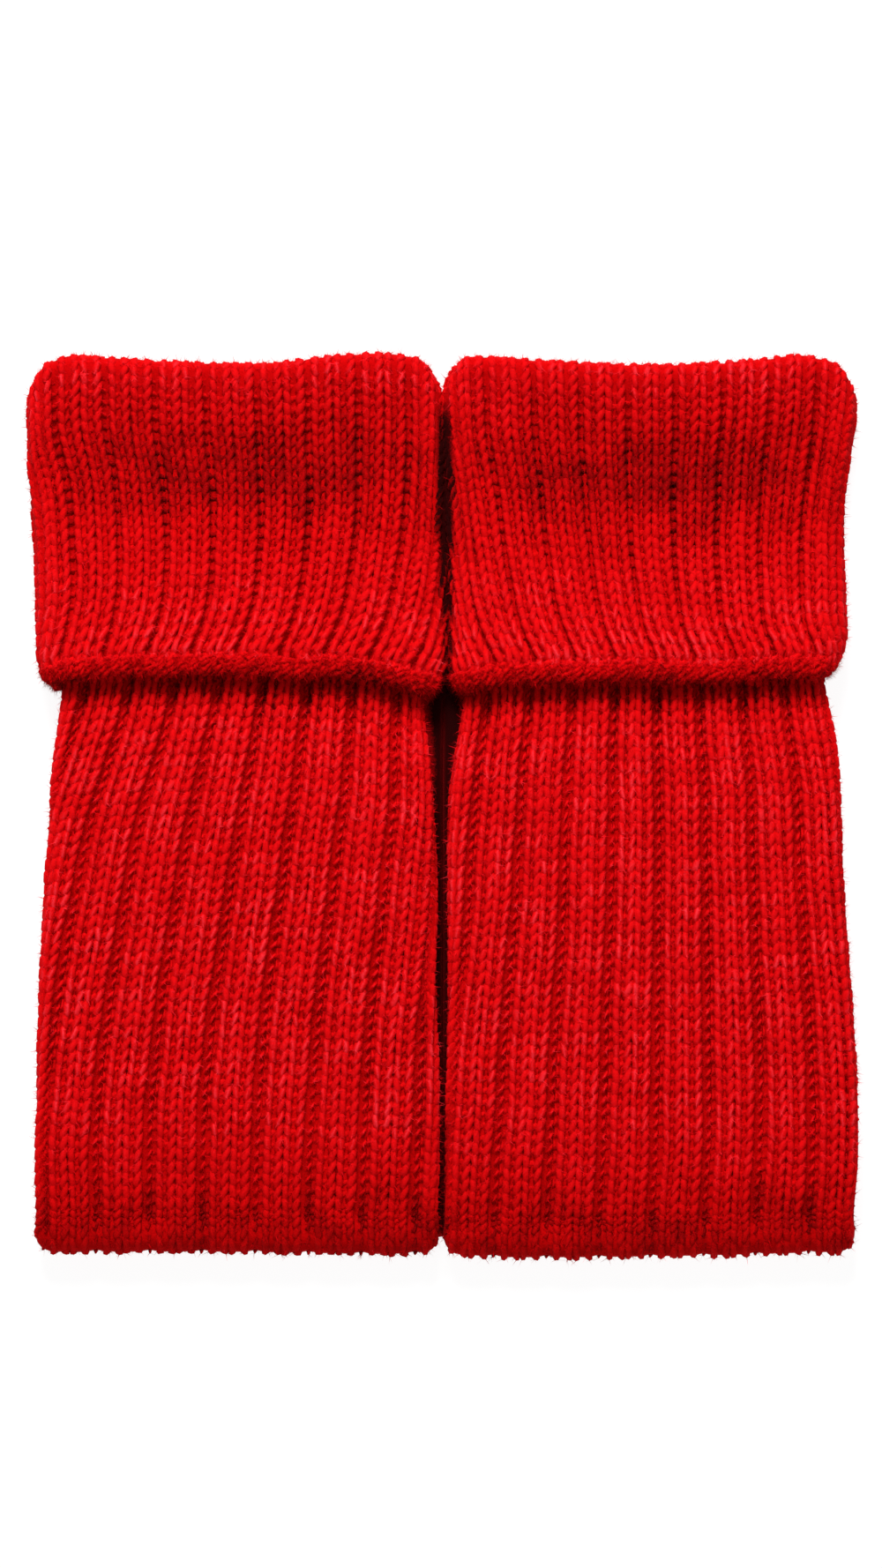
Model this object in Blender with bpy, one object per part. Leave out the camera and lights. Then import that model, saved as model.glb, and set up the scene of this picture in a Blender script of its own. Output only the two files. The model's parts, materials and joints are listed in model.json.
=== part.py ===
"""A pair of rib knit leg warmers, lying flat side by side.

Each leg warmer is one knitted tube, pressed flat. Its top is turned down into a deep
cuff that ends in a rolled hem. Its lower part is folded under itself, so the visible leg
ends in a fold. X runs across the pair, Y along the tubes towards the cuffs, and Z up from
the surface that the pair lies on. The origin is under the middle of the pair.
"""

import math
from collections import namedtuple

import bmesh
import bpy

MM = 0.001

# One layer of rib knit, and the furrow between two ribs
WALL = 3.0 * MM
RIB_RELIEF = 1.1 * MM
GAP = 0.4 * MM

# Turned top edge of the cuff
TURN_RADIUS = 3.3 * MM
TURN_TUCK = 7.0 * MM
TURN_ANGLES = (30, 60, 90, 120, 150, 180)

# How far the cuff's ribbed front runs on, from its side edge to its plain back
CUFF_WRAP = 24.0 * MM
CUFF_MIDDLE = 80.0 * MM
BACK_FADE = 0.5

# Side fold of the flattened leg, and the fold at its bottom
SIDE_RADIUS = 3.7 * MM
SIDE_WRAP = math.radians(150)
FOLD_RADIUS = 7.5 * MM
FOLD_STRETCH = 1.55
FOLD_NARROWING = 2.4 * MM
FOLD_ANGLES = (20, 42, 64, 86, 108, 130, 150)

# Rolled hem of the cuff
HEM_HEIGHT = 7.0 * MM
HEM_THICKNESS = 4.8 * MM
HEM_LIFT = 1.4 * MM
HEM_POINTS = 8
HEM_FRONT_STEPS = 16
HEM_SIDE_STEPS = 5
HEM_BACK_STEPS = 12

# How far the leg reaches up inside the cuff
LEG_TUCK = 12.0 * MM

# Hidden layers: how far they stay back from the pieces round them
LAYERS_HEM_CLEARANCE = 1.4 * MM
LAYERS_FOLD_CLEARANCE = 1.5 * MM
LAYERS_SIDE_INSET = SIDE_RADIUS + 0.9 * MM
LAYERS_CUFF_INSET = WALL + 1.6 * MM
LAYERS_END_INSET = 7.0 * MM
LAYERS_SHOULDER = 0.9 * MM
LAYERS_CROWN_INSET = 1.2 * MM
LOWER_INSET = 1.0 * MM
LOWER_GAP = 0.8 * MM
MIDDLE_GAP = 0.4 * MM
SECTION_POINTS = 8

# Rows of points along each piece
LEG_ROWS = 12
CUFF_ROWS = 7
LAYER_ROWS = 9

# Furrow and crown of the two knit wales in one rib repeat: place in the repeat and height
RibPoint = namedtuple("RibPoint", "place height")
RIB_PROFILE = (
    RibPoint(0.00, 0.00),
    RibPoint(0.17, 0.80),
    RibPoint(0.33, 1.00),
    RibPoint(0.50, 0.62),
    RibPoint(0.67, 1.00),
    RibPoint(0.83, 0.80),
)
PLAIN_POINTS_PER_REPEAT = 2

# Side of the layers that are folded under: inset in millimetres, and share of their height
LowerPoint = namedtuple("LowerPoint", "inset share")
LOWER_SIDE = (
    LowerPoint(3.6, 0.00),
    LowerPoint(1.2, 0.22),
    LowerPoint(0.0, 0.50),
    LowerPoint(1.0, 0.86),
    LowerPoint(3.2, 1.00),
)

# Sections of the hidden layers: from the fold (0) to the hem (1) and the turned top (2),
# moved by a lift in millimetres. The end sections also have a half thickness.
LayerRow = namedtuple("LayerRow", "share lift half")
END_ROWS = (
    LayerRow(0, -6.7, 1.4),
    LayerRow(0, -5.7, 2.4),
    LayerRow(0, -4.1, 3.2),
)
NECK_ROWS = (
    LayerRow(1, 0.3, None),
    LayerRow(1, 8.4, None),
    LayerRow(1, 13.8, None),
)
CUFF_LAYER_ROWS = (
    LayerRow(2, -39.0, None),
    LayerRow(2, -19.0, None),
)

# Points along the cuff's plain back
BACK_POINTS = 10

# Side edges at heights along the tube, in millimetres
EdgeRow = namedtuple("EdgeRow", "height left right")
CUFF_EDGES = {
    "left": (
        EdgeRow(36, -118.0, 0.0),
        EdgeRow(44, -118.2, 0.6),
        EdgeRow(60, -118.8, 0.9),
        EdgeRow(75, -119.2, 0.3),
        EdgeRow(90, -120.2, -0.4),
        EdgeRow(104, -121.8, -0.5),
        EdgeRow(119, -122.3, -0.7),
    ),
    "right": (
        EdgeRow(36, 2.0, 116.8),
        EdgeRow(44, 2.4, 118.5),
        EdgeRow(60, 2.8, 118.7),
        EdgeRow(75, 2.4, 117.9),
        EdgeRow(90, 2.2, 118.4),
        EdgeRow(104, 1.5, 120.0),
        EdgeRow(119, 0.6, 121.8),
    ),
}
LEG_EDGES = {
    "left": (
        EdgeRow(-120, -119.6, -0.8),
        EdgeRow(-105, -119.8, -0.5),
        EdgeRow(-80, -119.2, -0.7),
        EdgeRow(-50, -118.4, -1.6),
        EdgeRow(-25, -117.2, -1.1),
        EdgeRow(0, -115.6, -1.7),
        EdgeRow(15, -114.3, -2.7),
        EdgeRow(30, -112.4, -6.6),
        EdgeRow(48, -111.8, -7.6),
    ),
    "right": (
        EdgeRow(-120, 0.6, 121.0),
        EdgeRow(-105, 0.8, 122.2),
        EdgeRow(-80, 0.7, 121.8),
        EdgeRow(-50, 1.1, 119.8),
        EdgeRow(-25, 0.9, 118.0),
        EdgeRow(0, 1.3, 116.8),
        EdgeRow(15, 2.8, 115.8),
        EdgeRow(29, 6.8, 113.2),
        EdgeRow(44, 8.0, 110.8),
    ),
}

# Where one furrow lies at heights along the tube, and the width of a rib repeat there
RibRow = namedtuple("RibRow", "height furrow repeat")
CUFF_RIBS = {
    "left": (
        RibRow(36, -64.5, 12.8),
        RibRow(44, -61.0, 12.9),
        RibRow(52, -57.4, 13.1),
        RibRow(62, -54.8, 13.3),
        RibRow(78, -53.3, 13.8),
        RibRow(93, -53.3, 14.2),
        RibRow(109, -54.1, 14.8),
        RibRow(124, -54.5, 14.8),
    ),
    "right": (
        RibRow(36, 76.0, 11.6),
        RibRow(44, 73.2, 11.7),
        RibRow(52, 70.0, 11.8),
        RibRow(62, 68.6, 12.1),
        RibRow(78, 67.5, 12.5),
        RibRow(93, 67.5, 13.0),
        RibRow(109, 68.0, 13.7),
        RibRow(124, 68.0, 13.9),
    ),
}
LEG_RIBS = {
    "left": (
        RibRow(-125, -70.6, 15.5),
        RibRow(-95, -70.0, 15.7),
        RibRow(-64, -67.5, 15.4),
        RibRow(-33, -63.3, 15.1),
        RibRow(-2, -58.6, 14.6),
        RibRow(13, -55.9, 13.9),
        RibRow(29, -53.3, 13.2),
        RibRow(48, -51.5, 12.8),
    ),
    "right": (
        RibRow(-125, 60.8, 15.4),
        RibRow(-95, 62.3, 15.3),
        RibRow(-64, 62.6, 14.8),
        RibRow(-33, 63.0, 14.0),
        RibRow(-2, 63.1, 13.5),
        RibRow(13, 62.8, 13.1),
        RibRow(29, 62.6, 12.5),
        RibRow(48, 62.4, 12.3),
    ),
}

# Ends of each piece, across the tube, in millimetres
EndRow = namedtuple("EndRow", "across height")
TOP_TURN = {
    "left": (
        EndRow(-122.4, 118.5),
        EndRow(-120.6, 122.0),
        EndRow(-117.9, 125.2),
        EndRow(-114.0, 127.4),
        EndRow(-107.0, 129.0),
        EndRow(-92.0, 127.8),
        EndRow(-53.0, 126.6),
        EndRow(-24.0, 129.4),
        EndRow(-10.0, 128.6),
        EndRow(-6.0, 127.0),
        EndRow(-2.6, 123.0),
        EndRow(-0.6, 118.5),
    ),
    "right": (
        EndRow(0.5, 118.5),
        EndRow(2.0, 122.5),
        EndRow(4.8, 126.3),
        EndRow(8.5, 127.8),
        EndRow(33.0, 127.2),
        EndRow(60.0, 126.2),
        EndRow(88.0, 127.2),
        EndRow(105.0, 128.9),
        EndRow(113.0, 127.3),
        EndRow(117.0, 125.4),
        EndRow(120.2, 122.0),
        EndRow(121.9, 118.5),
    ),
}
HEM_EDGE = {
    "left": (
        EndRow(-118, 35.0),
        EndRow(-102, 37.2),
        EndRow(-60, 38.2),
        EndRow(-30, 37.2),
        EndRow(-12, 34.6),
        EndRow(0, 31.8),
    ),
    "right": (
        EndRow(2, 32.2),
        EndRow(14, 34.6),
        EndRow(40, 36.2),
        EndRow(75, 36.2),
        EndRow(105, 37.4),
        EndRow(118, 37.6),
    ),
}
BOTTOM_EDGE = {
    "left": (
        EndRow(-119, -130.9),
        EndRow(-60, -130.9),
        EndRow(-20, -131.5),
        EndRow(-1, -131.2),
    ),
    "right": (
        EndRow(1, -131.4),
        EndRow(20, -132.5),
        EndRow(70, -132.1),
        EndRow(120, -130.8),
    ),
}

# Height of each piece's upper surface over the floor, along the tube, in millimetres
RiseRow = namedtuple("RiseRow", "height rise")
CUFF_RISE = (
    RiseRow(34, 16.2),
    RiseRow(44, 16.0),
    RiseRow(60, 15.2),
    RiseRow(90, 14.6),
    RiseRow(128, 14.1),
)
LEG_RISE = (
    RiseRow(-130, 15.0),
    RiseRow(-60, 15.3),
    RiseRow(-10, 15.2),
    RiseRow(8, 14.6),
    RiseRow(22, 13.5),
    RiseRow(36, 12.3),
    RiseRow(48, 11.6),
)


def read(rows, place, column):
    """Read a column of a table at a place between its rows, on a smooth curve."""
    first = rows[0][0]
    last = rows[-1][0]
    place = min(max(place / MM, first), last)
    index = 0
    while index < len(rows) - 2 and place > rows[index + 1][0]:
        index += 1
    start = rows[index]
    end = rows[index + 1]
    before = rows[max(index - 1, 0)]
    after = rows[min(index + 2, len(rows) - 1)]
    span = end[0] - start[0]
    a = getattr(start, column)
    b = getattr(end, column)
    slope_a = (b - getattr(before, column)) / (end[0] - before[0]) * span
    slope_b = (getattr(after, column) - a) / (after[0] - start[0]) * span
    t = (place - start[0]) / span
    value = (
        a * (2 * t**3 - 3 * t**2 + 1)
        + slope_a * (t**3 - 2 * t**2 + t)
        + b * (3 * t**2 - 2 * t**3)
        + slope_b * (t**3 - t**2)
    )
    return value * MM


def rib_height(place):
    """Height of the rib at a place in its repeat, from 0 in the furrow to 1 on a crown."""
    place = place % 1.0
    points = RIB_PROFILE + (RibPoint(1.0, RIB_PROFILE[0].height),)
    for start, end in zip(points, points[1:]):
        if place <= end.place:
            share = (place - start.place) / (end.place - start.place)
            return start.height + share * (end.height - start.height)
    return 0.0


def flat_tube(arc, left, right, radius):
    """Point on a flattened tube's section, and its outward direction.

    The arc is X on the flat front, and runs on round the sides and under the back. The
    point is given as X and as the drop below the front.
    """
    if arc < left + radius:
        side = -1
        base = left + radius
    elif arc > right - radius:
        side = 1
        base = right - radius
    else:
        return arc, 0.0, 0.0, 1.0
    angle = abs(arc - base) / radius
    if angle <= math.pi:
        across = base + side * radius * math.sin(angle)
        drop = radius * (1 - math.cos(angle))
        return across, drop, side * math.sin(angle), math.cos(angle)
    under = (angle - math.pi) * radius
    return base - side * under, 2 * radius, 0.0, -1.0


def repeat_places(lowest, highest, points):
    """Places of the mesh's columns, in repeats, at the rib profile's points."""
    places = []
    for repeat in range(math.floor(lowest) - 1, math.ceil(highest) + 1):
        for point in points:
            if lowest < repeat + point < highest:
                places.append(repeat + point)
    return places


RIB_PLACES = tuple(point.place for point in RIB_PROFILE)
PLAIN_PLACES = tuple(n / PLAIN_POINTS_PER_REPEAT for n in range(PLAIN_POINTS_PER_REPEAT))


def zip_rows(bm, lower, upper):
    """Join two rows of (key, vertex) with faces, in the order of their keys."""
    i = 0
    j = 0
    while i < len(lower) - 1 or j < len(upper) - 1:
        next_lower = lower[i + 1][0] if i < len(lower) - 1 else math.inf
        next_upper = upper[j + 1][0] if j < len(upper) - 1 else math.inf
        here_lower = lower[i][1]
        here_upper = upper[j][1]
        if abs(next_lower - next_upper) < 1e-6:
            bm.faces.new((here_lower, lower[i + 1][1], upper[j + 1][1], here_upper))
            i += 1
            j += 1
        elif next_lower < next_upper:
            bm.faces.new((here_lower, lower[i + 1][1], here_upper))
            i += 1
        else:
            bm.faces.new((here_lower, upper[j + 1][1], here_upper))
            j += 1


def zip_all(bm, rows):
    """Join each row of a sheet to the next."""
    for lower, upper in zip(rows, rows[1:]):
        zip_rows(bm, lower, upper)


def ends(rows, index):
    """The chain of first or last vertices of a sheet's rows, keyed by row."""
    return [(number, row[index][1]) for number, row in enumerate(rows)]


def finish_piece(bm, name, material, collection):
    """Turn the faces outwards, shade the piece smooth and link it as a named object."""
    bmesh.ops.recalc_face_normals(bm, faces=bm.faces)
    mesh = bpy.data.meshes.new(name)
    bm.to_mesh(mesh)
    bm.free()
    mesh.shade_smooth()
    mesh.set_sharp_from_angle(angle=math.radians(50))
    mesh.materials.append(material)
    piece = bpy.data.objects.new(name, mesh)
    collection.objects.link(piece)
    return piece


def knit_material(name, colour, roughness):
    """A plain knitted yarn."""
    material = bpy.data.materials.new(name)
    material.use_nodes = True
    shader = material.node_tree.nodes["Principled BSDF"]
    shader.inputs["Base Color"].default_value = (*colour, 1.0)
    shader.inputs["Roughness"].default_value = roughness
    shader.inputs["Metallic"].default_value = 0.0
    return material


def leg_line(side, across, share):
    """Height along the leg, from its top inside the cuff (0) to the bottom fold (1)."""
    top = read(HEM_EDGE[side], across, "height") + LEG_TUCK
    fold = read(BOTTOM_EDGE[side], across, "height") + FOLD_RADIUS * FOLD_STRETCH
    return top + (fold - top) * share


def leg_limits(side, share, turn):
    """Left and right edges of the leg in one row, and its middle height."""
    rows = LEG_EDGES[side]
    middle = (rows[0].left + rows[0].right) / 2 * MM
    height = leg_line(side, middle, share)
    narrowing = FOLD_NARROWING * (1 - math.cos(turn)) / 2
    left = read(rows, height, "left") + narrowing
    right = read(rows, height, "right") - narrowing
    return left, right, height


def leg_point(side, place, share, turn, offset):
    """Point on the leg's cloth at a place in repeats, out by an offset from the crowns."""
    left, right, height = leg_limits(side, share, turn)
    repeat = read(LEG_RIBS[side], height, "repeat")
    arc = read(LEG_RIBS[side], height, "furrow") + repeat * place
    across, drop, out_x, out_z = flat_tube(arc, left, right, SIDE_RADIUS)
    height = leg_line(side, across, share)
    rise = read(LEG_RISE, height, "rise")
    reach = FOLD_RADIUS - drop + out_z * offset
    return (
        across + out_x * offset,
        height - reach * FOLD_STRETCH * math.sin(turn),
        rise - FOLD_RADIUS + reach * math.cos(turn),
    )


def leg_places(side, share, turn, points):
    """Columns of one row of the leg, in repeats, with both wrapped edges."""
    left, right, height = leg_limits(side, share, turn)
    furrow = read(LEG_RIBS[side], height, "furrow")
    repeat = read(LEG_RIBS[side], height, "repeat")
    wrap = SIDE_RADIUS * (SIDE_WRAP - 1)
    lowest = (left - wrap - furrow) / repeat
    highest = (right + wrap - furrow) / repeat
    margin = 0.4 / len(points)
    inner = repeat_places(lowest + margin, highest - margin, points)
    return [lowest] + inner + [highest]


def leg_sheet(bm, side, points, ribbed):
    """One surface of the leg: the ribbed outside, or the plain inside."""
    shares = [(row / LEG_ROWS, 0.0) for row in range(LEG_ROWS + 1)]
    shares += [(1.0, math.radians(angle)) for angle in FOLD_ANGLES]
    rows = []
    for share, turn in shares:
        row = []
        for place in leg_places(side, share, turn, points):
            offset = -WALL
            if ribbed:
                offset = (rib_height(place) - 1) * RIB_RELIEF
            point = leg_point(side, place, share, turn, offset)
            row.append((place, bm.verts.new(point)))
        rows.append(row)
    zip_all(bm, rows)
    return rows


def make_leg(side, material, collection):
    """The leg's front, wrapped round its side folds and its bottom fold."""
    bm = bmesh.new()
    outside = leg_sheet(bm, side, RIB_PLACES, True)
    inside = leg_sheet(bm, side, PLAIN_PLACES, False)
    zip_rows(bm, outside[0], inside[0])
    zip_rows(bm, outside[-1], inside[-1])
    zip_rows(bm, ends(outside, 0), ends(inside, 0))
    zip_rows(bm, ends(outside, -1), ends(inside, -1))
    return finish_piece(bm, side + "_leg", material, collection)


def cuff_line(side, across, share):
    """Height along the cuff, from just over its hem (0) to its turned top edge (1)."""
    hem = read(HEM_EDGE[side], across, "height") + HEM_HEIGHT + GAP
    top = read(TOP_TURN[side], across, "height")
    return hem + (top - hem) * share


def cuff_section(side, place, share):
    """Point on the cuff's flat section at a place in repeats, with half its thickness."""
    middle = read(CUFF_RIBS[side], CUFF_MIDDLE, "furrow")
    height = cuff_line(side, middle, share)
    radius = read(CUFF_RISE, height, "rise") / 2
    left = read(CUFF_EDGES[side], height, "left")
    right = read(CUFF_EDGES[side], height, "right")
    repeat = read(CUFF_RIBS[side], height, "repeat")
    arc = read(CUFF_RIBS[side], height, "furrow") + repeat * place
    return (*flat_tube(arc, left, right, radius), radius)


def cuff_point(side, place, share, turn, offset, tuck):
    """Point on the cuff's cloth, all round the tube, out by an offset from the crowns."""
    across, drop, out_x, out_z, radius = cuff_section(side, place, share)
    height = cuff_line(side, across, share)
    reach = -TURN_RADIUS + (TURN_RADIUS + offset) * math.cos(turn)
    return (
        across + out_x * reach,
        height + (TURN_RADIUS + offset) * math.sin(turn) - tuck,
        2 * radius - drop + out_z * reach,
    )


def back_fade(side, place, share):
    """1 on the front and the sides of the cuff, falling to 0 under its back."""
    out_z = cuff_section(side, place, share)[3]
    return min(max((out_z + 1) / BACK_FADE, 0.0), 1.0)


def cuff_places(side, points):
    """Columns round the front and sides of the cuff, in repeats, at each of its rows."""
    lowest = 0.0
    highest = 0.0
    for row in CUFF_RIBS[side]:
        height = row.height * MM
        left = read(CUFF_EDGES[side], height, "left")
        right = read(CUFF_EDGES[side], height, "right")
        lowest = min(lowest, (left - CUFF_WRAP - row.furrow * MM) / (row.repeat * MM))
        highest = max(highest, (right + CUFF_WRAP - row.furrow * MM) / (row.repeat * MM))
    return repeat_places(lowest, highest, points)


def back_point(side, place_left, place_right, share, turn, offset, tuck, step):
    """Point on the cuff's plain back, between its two last columns."""
    start = cuff_point(side, place_right, share, turn, offset, tuck)
    end = cuff_point(side, place_left, share, turn, offset, tuck)
    across = start[0] + (end[0] - start[0]) * step
    rise = start[2] + (end[2] - start[2]) * step
    height = cuff_line(side, across, share)
    return across, height + (TURN_RADIUS + offset) * math.sin(turn) - tuck, rise


def cuff_sheet(bm, side, points, ribbed):
    """One surface of the cuff, as closed rows round the tube."""
    stages = [(row / CUFF_ROWS, 0.0, 0.0) for row in range(CUFF_ROWS + 1)]
    stages += [(1.0, math.radians(angle), 0.0) for angle in TURN_ANGLES]
    stages += [(1.0, math.pi, TURN_TUCK)]
    places = cuff_places(side, points)
    rows = []
    for share, turn, tuck in stages:
        row = []
        for place in places:
            offset = -WALL
            if ribbed:
                furrow = (1 - rib_height(place)) * RIB_RELIEF
                offset = -furrow * back_fade(side, place, share)
            point = cuff_point(side, place, share, turn, offset, tuck)
            row.append((place, bm.verts.new(point)))
        offset = 0.0 if ribbed else -WALL
        for step in range(1, BACK_POINTS):
            share_back = step / BACK_POINTS
            point = back_point(
                side, places[0], places[-1], share, turn, offset, tuck, share_back
            )
            row.append((places[-1] + share_back, bm.verts.new(point)))
        row.append((places[-1] + 1, row[0][1]))
        rows.append(row)
    zip_all(bm, rows)
    return rows


def make_cuff(side, material, collection):
    """The turned-down cuff, a tube whose top edge turns over into its mouth."""
    bm = bmesh.new()
    outside = cuff_sheet(bm, side, RIB_PLACES, True)
    inside = cuff_sheet(bm, side, PLAIN_PLACES, False)
    zip_rows(bm, outside[0], inside[0])
    zip_rows(bm, outside[-1], inside[-1])
    return finish_piece(bm, side + "_cuff", material, collection)


def hem_stations(side):
    """Arcs round the cuff's lower edge: front, right side, back and left side."""
    middle = read(CUFF_RIBS[side], CUFF_MIDDLE, "furrow")
    height = read(HEM_EDGE[side], middle, "height")
    radius = read(CUFF_RISE, height, "rise") / 2
    left = read(CUFF_EDGES[side], height, "left")
    right = read(CUFF_EDGES[side], height, "right")
    flat = right - left - 2 * radius
    half_turn = math.pi * radius
    arcs = [left + radius + flat * n / HEM_FRONT_STEPS for n in range(HEM_FRONT_STEPS)]
    arcs += [right - radius + half_turn * n / HEM_SIDE_STEPS for n in range(HEM_SIDE_STEPS)]
    back = right - radius + half_turn
    arcs += [back + flat * n / HEM_BACK_STEPS for n in range(HEM_BACK_STEPS)]
    turn = left + radius - half_turn
    arcs += [turn + half_turn * n / HEM_SIDE_STEPS for n in range(HEM_SIDE_STEPS)]
    return arcs, left, right, radius


def make_hem(side, material, collection):
    """The rolled hem, a soft roll round the cuff's lower edge."""
    arcs, left, right, radius = hem_stations(side)
    bm = bmesh.new()
    rings = []
    for arc in arcs:
        across, drop, out_x, out_z = flat_tube(arc, left, right, radius)
        middle = read(HEM_EDGE[side], across, "height") + HEM_HEIGHT / 2
        depth = HEM_THICKNESS / 2 - HEM_LIFT * (1 + out_z) / 2
        ring = []
        for number in range(HEM_POINTS):
            angle = 2 * math.pi * number / HEM_POINTS
            out = HEM_THICKNESS / 2 * math.cos(angle) - depth
            along = HEM_HEIGHT / 2 * math.sin(angle)
            point = (across + out_x * out, middle + along, 2 * radius - drop + out_z * out)
            ring.append((number, bm.verts.new(point)))
        ring.append((HEM_POINTS, ring[0][1]))
        rings.append(ring)
    rings.append(rings[0])
    zip_all(bm, rings)
    return finish_piece(bm, side + "_cuff_hem", material, collection)


def both_sides(left, right, half):
    """A closed section from the points of its left half, given as inset and height."""
    rim = [(left + inset, up) for inset, up in half]
    rim += [(right - inset, up) for inset, up in reversed(half)]
    return rim


def upper_half(crown):
    """Side of the layers inside the leg, up to their crown, as inset and height."""
    return [
        (LAYERS_SIDE_INSET, crown - LAYERS_SHOULDER),
        (LAYERS_SIDE_INSET + LAYERS_CROWN_INSET, crown),
    ]


def lobed_section(side, height):
    """Hidden layers under the leg: its own two layers over the two folded under it."""
    left = read(LEG_EDGES[side], height, "left")
    right = read(LEG_EDGES[side], height, "right")
    rise = read(LEG_RISE, height, "rise")
    lower_left = left + LOWER_INSET
    lower_right = right - LOWER_INSET
    if side == "left":
        lower_right = max(lower_right, -MIDDLE_GAP)
    else:
        lower_left = min(lower_left, MIDDLE_GAP)
    lower_top = rise - 2 * SIDE_RADIUS - LOWER_GAP
    lower = [(point.inset * MM, point.share * lower_top) for point in LOWER_SIDE]
    upper = [(LAYERS_SIDE_INSET, lower_top + GAP)] + upper_half(rise - WALL - GAP)
    rim = [(lower_left + inset, up) for inset, up in lower]
    rim += both_sides(left, right, upper)
    rim += [(lower_right - inset, up) for inset, up in reversed(lower)]
    return rim


def neck_section(side, height):
    """Hidden layers where they pass into the cuff, over the back of its hem."""
    left = read(LEG_EDGES[side], height, "left")
    right = read(LEG_EDGES[side], height, "right")
    rise = read(LEG_RISE, height, "rise")
    bottom = HEM_THICKNESS + GAP
    half = [
        (LAYERS_SIDE_INSET + (len(LOWER_SIDE) - number) * MM, bottom)
        for number in range(len(LOWER_SIDE))
    ]
    half += [(LAYERS_SIDE_INSET, bottom + GAP)] + upper_half(rise - WALL - GAP)
    return both_sides(left, right, half)


def round_section(left, right, middle, radius):
    """Hidden layers inside the cuff or the fold: a flat bar with round sides."""
    half = []
    for number in range(SECTION_POINTS):
        angle = math.pi * (number / (SECTION_POINTS - 1) - 0.5)
        half.append((radius * (1 - math.cos(angle)), middle + radius * math.sin(angle)))
    return both_sides(left, right, half)


def layer_height(side, across, row):
    """Height of a section of the hidden layers at a place across the tube."""
    fold = leg_line(side, across, 1.0) + LAYERS_FOLD_CLEARANCE
    hem = read(HEM_EDGE[side], across, "height") - LAYERS_HEM_CLEARANCE
    top = read(TOP_TURN[side], across, "height")
    if row.share <= 1:
        return fold + (hem - fold) * row.share + row.lift * MM
    return hem + (top - hem) * (row.share - 1) + row.lift * MM


def layer_section(side, row, middle):
    """Section of the hidden layers in one row, as points of X and height over the floor."""
    height = layer_height(side, middle, row)
    if row in END_ROWS:
        left, right, height = leg_limits(side, 1.0, math.pi / 2)
        left += LAYERS_END_INSET
        right -= LAYERS_END_INSET
        centre = read(LEG_RISE, height, "rise") - FOLD_RADIUS
        return round_section(left, right, centre, row.half * MM)
    if row in NECK_ROWS:
        return neck_section(side, height)
    if row in CUFF_LAYER_ROWS:
        left = read(CUFF_EDGES[side], height, "left") + LAYERS_CUFF_INSET
        right = read(CUFF_EDGES[side], height, "right") - LAYERS_CUFF_INSET
        centre = read(CUFF_RISE, height, "rise") / 2
        return round_section(left, right, centre, centre - WALL - GAP)
    return lobed_section(side, height)


def make_layers(side, material, collection):
    """The hidden layers: the tube's back, and the part that is folded under."""
    edges = LEG_EDGES[side][0]
    middle = (edges.left + edges.right) / 2 * MM
    rows = list(END_ROWS)
    rows += [LayerRow(number / LAYER_ROWS, 0.0, None) for number in range(LAYER_ROWS + 1)]
    rows += list(NECK_ROWS + CUFF_LAYER_ROWS)
    bm = bmesh.new()
    rings = []
    for row in rows:
        ring = []
        for number, (across, up) in enumerate(layer_section(side, row, middle)):
            point = (across, layer_height(side, across, row), up)
            ring.append((number, bm.verts.new(point)))
        rings.append(ring + [(len(ring), ring[0][1])])
    zip_all(bm, rings)
    for ring in (rings[0], rings[-1]):
        bm.faces.new([vertex for number, vertex in ring[:-1]])
    return finish_piece(bm, side + "_folded_layers", material, collection)


def make_leg_warmer(side, materials, collection):
    """All the pieces of one leg warmer, under an empty that places it."""
    holder = bpy.data.objects.new(side + "_leg_warmer", None)
    collection.objects.link(holder)
    pieces = (
        make_leg(side, materials["rib"], collection),
        make_cuff(side, materials["rib"], collection),
        make_hem(side, materials["hem"], collection),
        make_layers(side, materials["layers"], collection),
    )
    for piece in pieces:
        piece.parent = holder


def main():
    """Clear the scene, then make both leg warmers."""
    for item in list(bpy.data.objects):
        bpy.data.objects.remove(item, do_unlink=True)
    collection = bpy.data.collections.new("leg_warmers")
    bpy.context.scene.collection.children.link(collection)
    materials = {
        "rib": knit_material("red_rib_knit", (0.62, 0.003, 0.006), 0.85),
        "hem": knit_material("red_rolled_hem", (0.60, 0.004, 0.008), 0.9),
        "layers": knit_material("red_folded_knit", (0.42, 0.002, 0.004), 0.9),
    }
    for side in ("left", "right"):
        make_leg_warmer(side, materials, collection)


main()
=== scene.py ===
"""The pair of rib knit leg warmers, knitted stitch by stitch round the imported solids.

Each leg warmer is a thin cloth shell on its solid's form, under rows of yarn that are bent
into 2x2 rib stitches, with loose fibres standing off the yarn. X runs across the pair, Y
along the tubes towards the cuffs, and Z up from the floor. Sizes are in metres.
"""

import json
import math
import random
from collections import namedtuple

import bmesh
import bpy
from bpy.props import FloatProperty, FloatVectorProperty, IntProperty, PointerProperty
from mathutils import Matrix, Vector, noise

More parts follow.
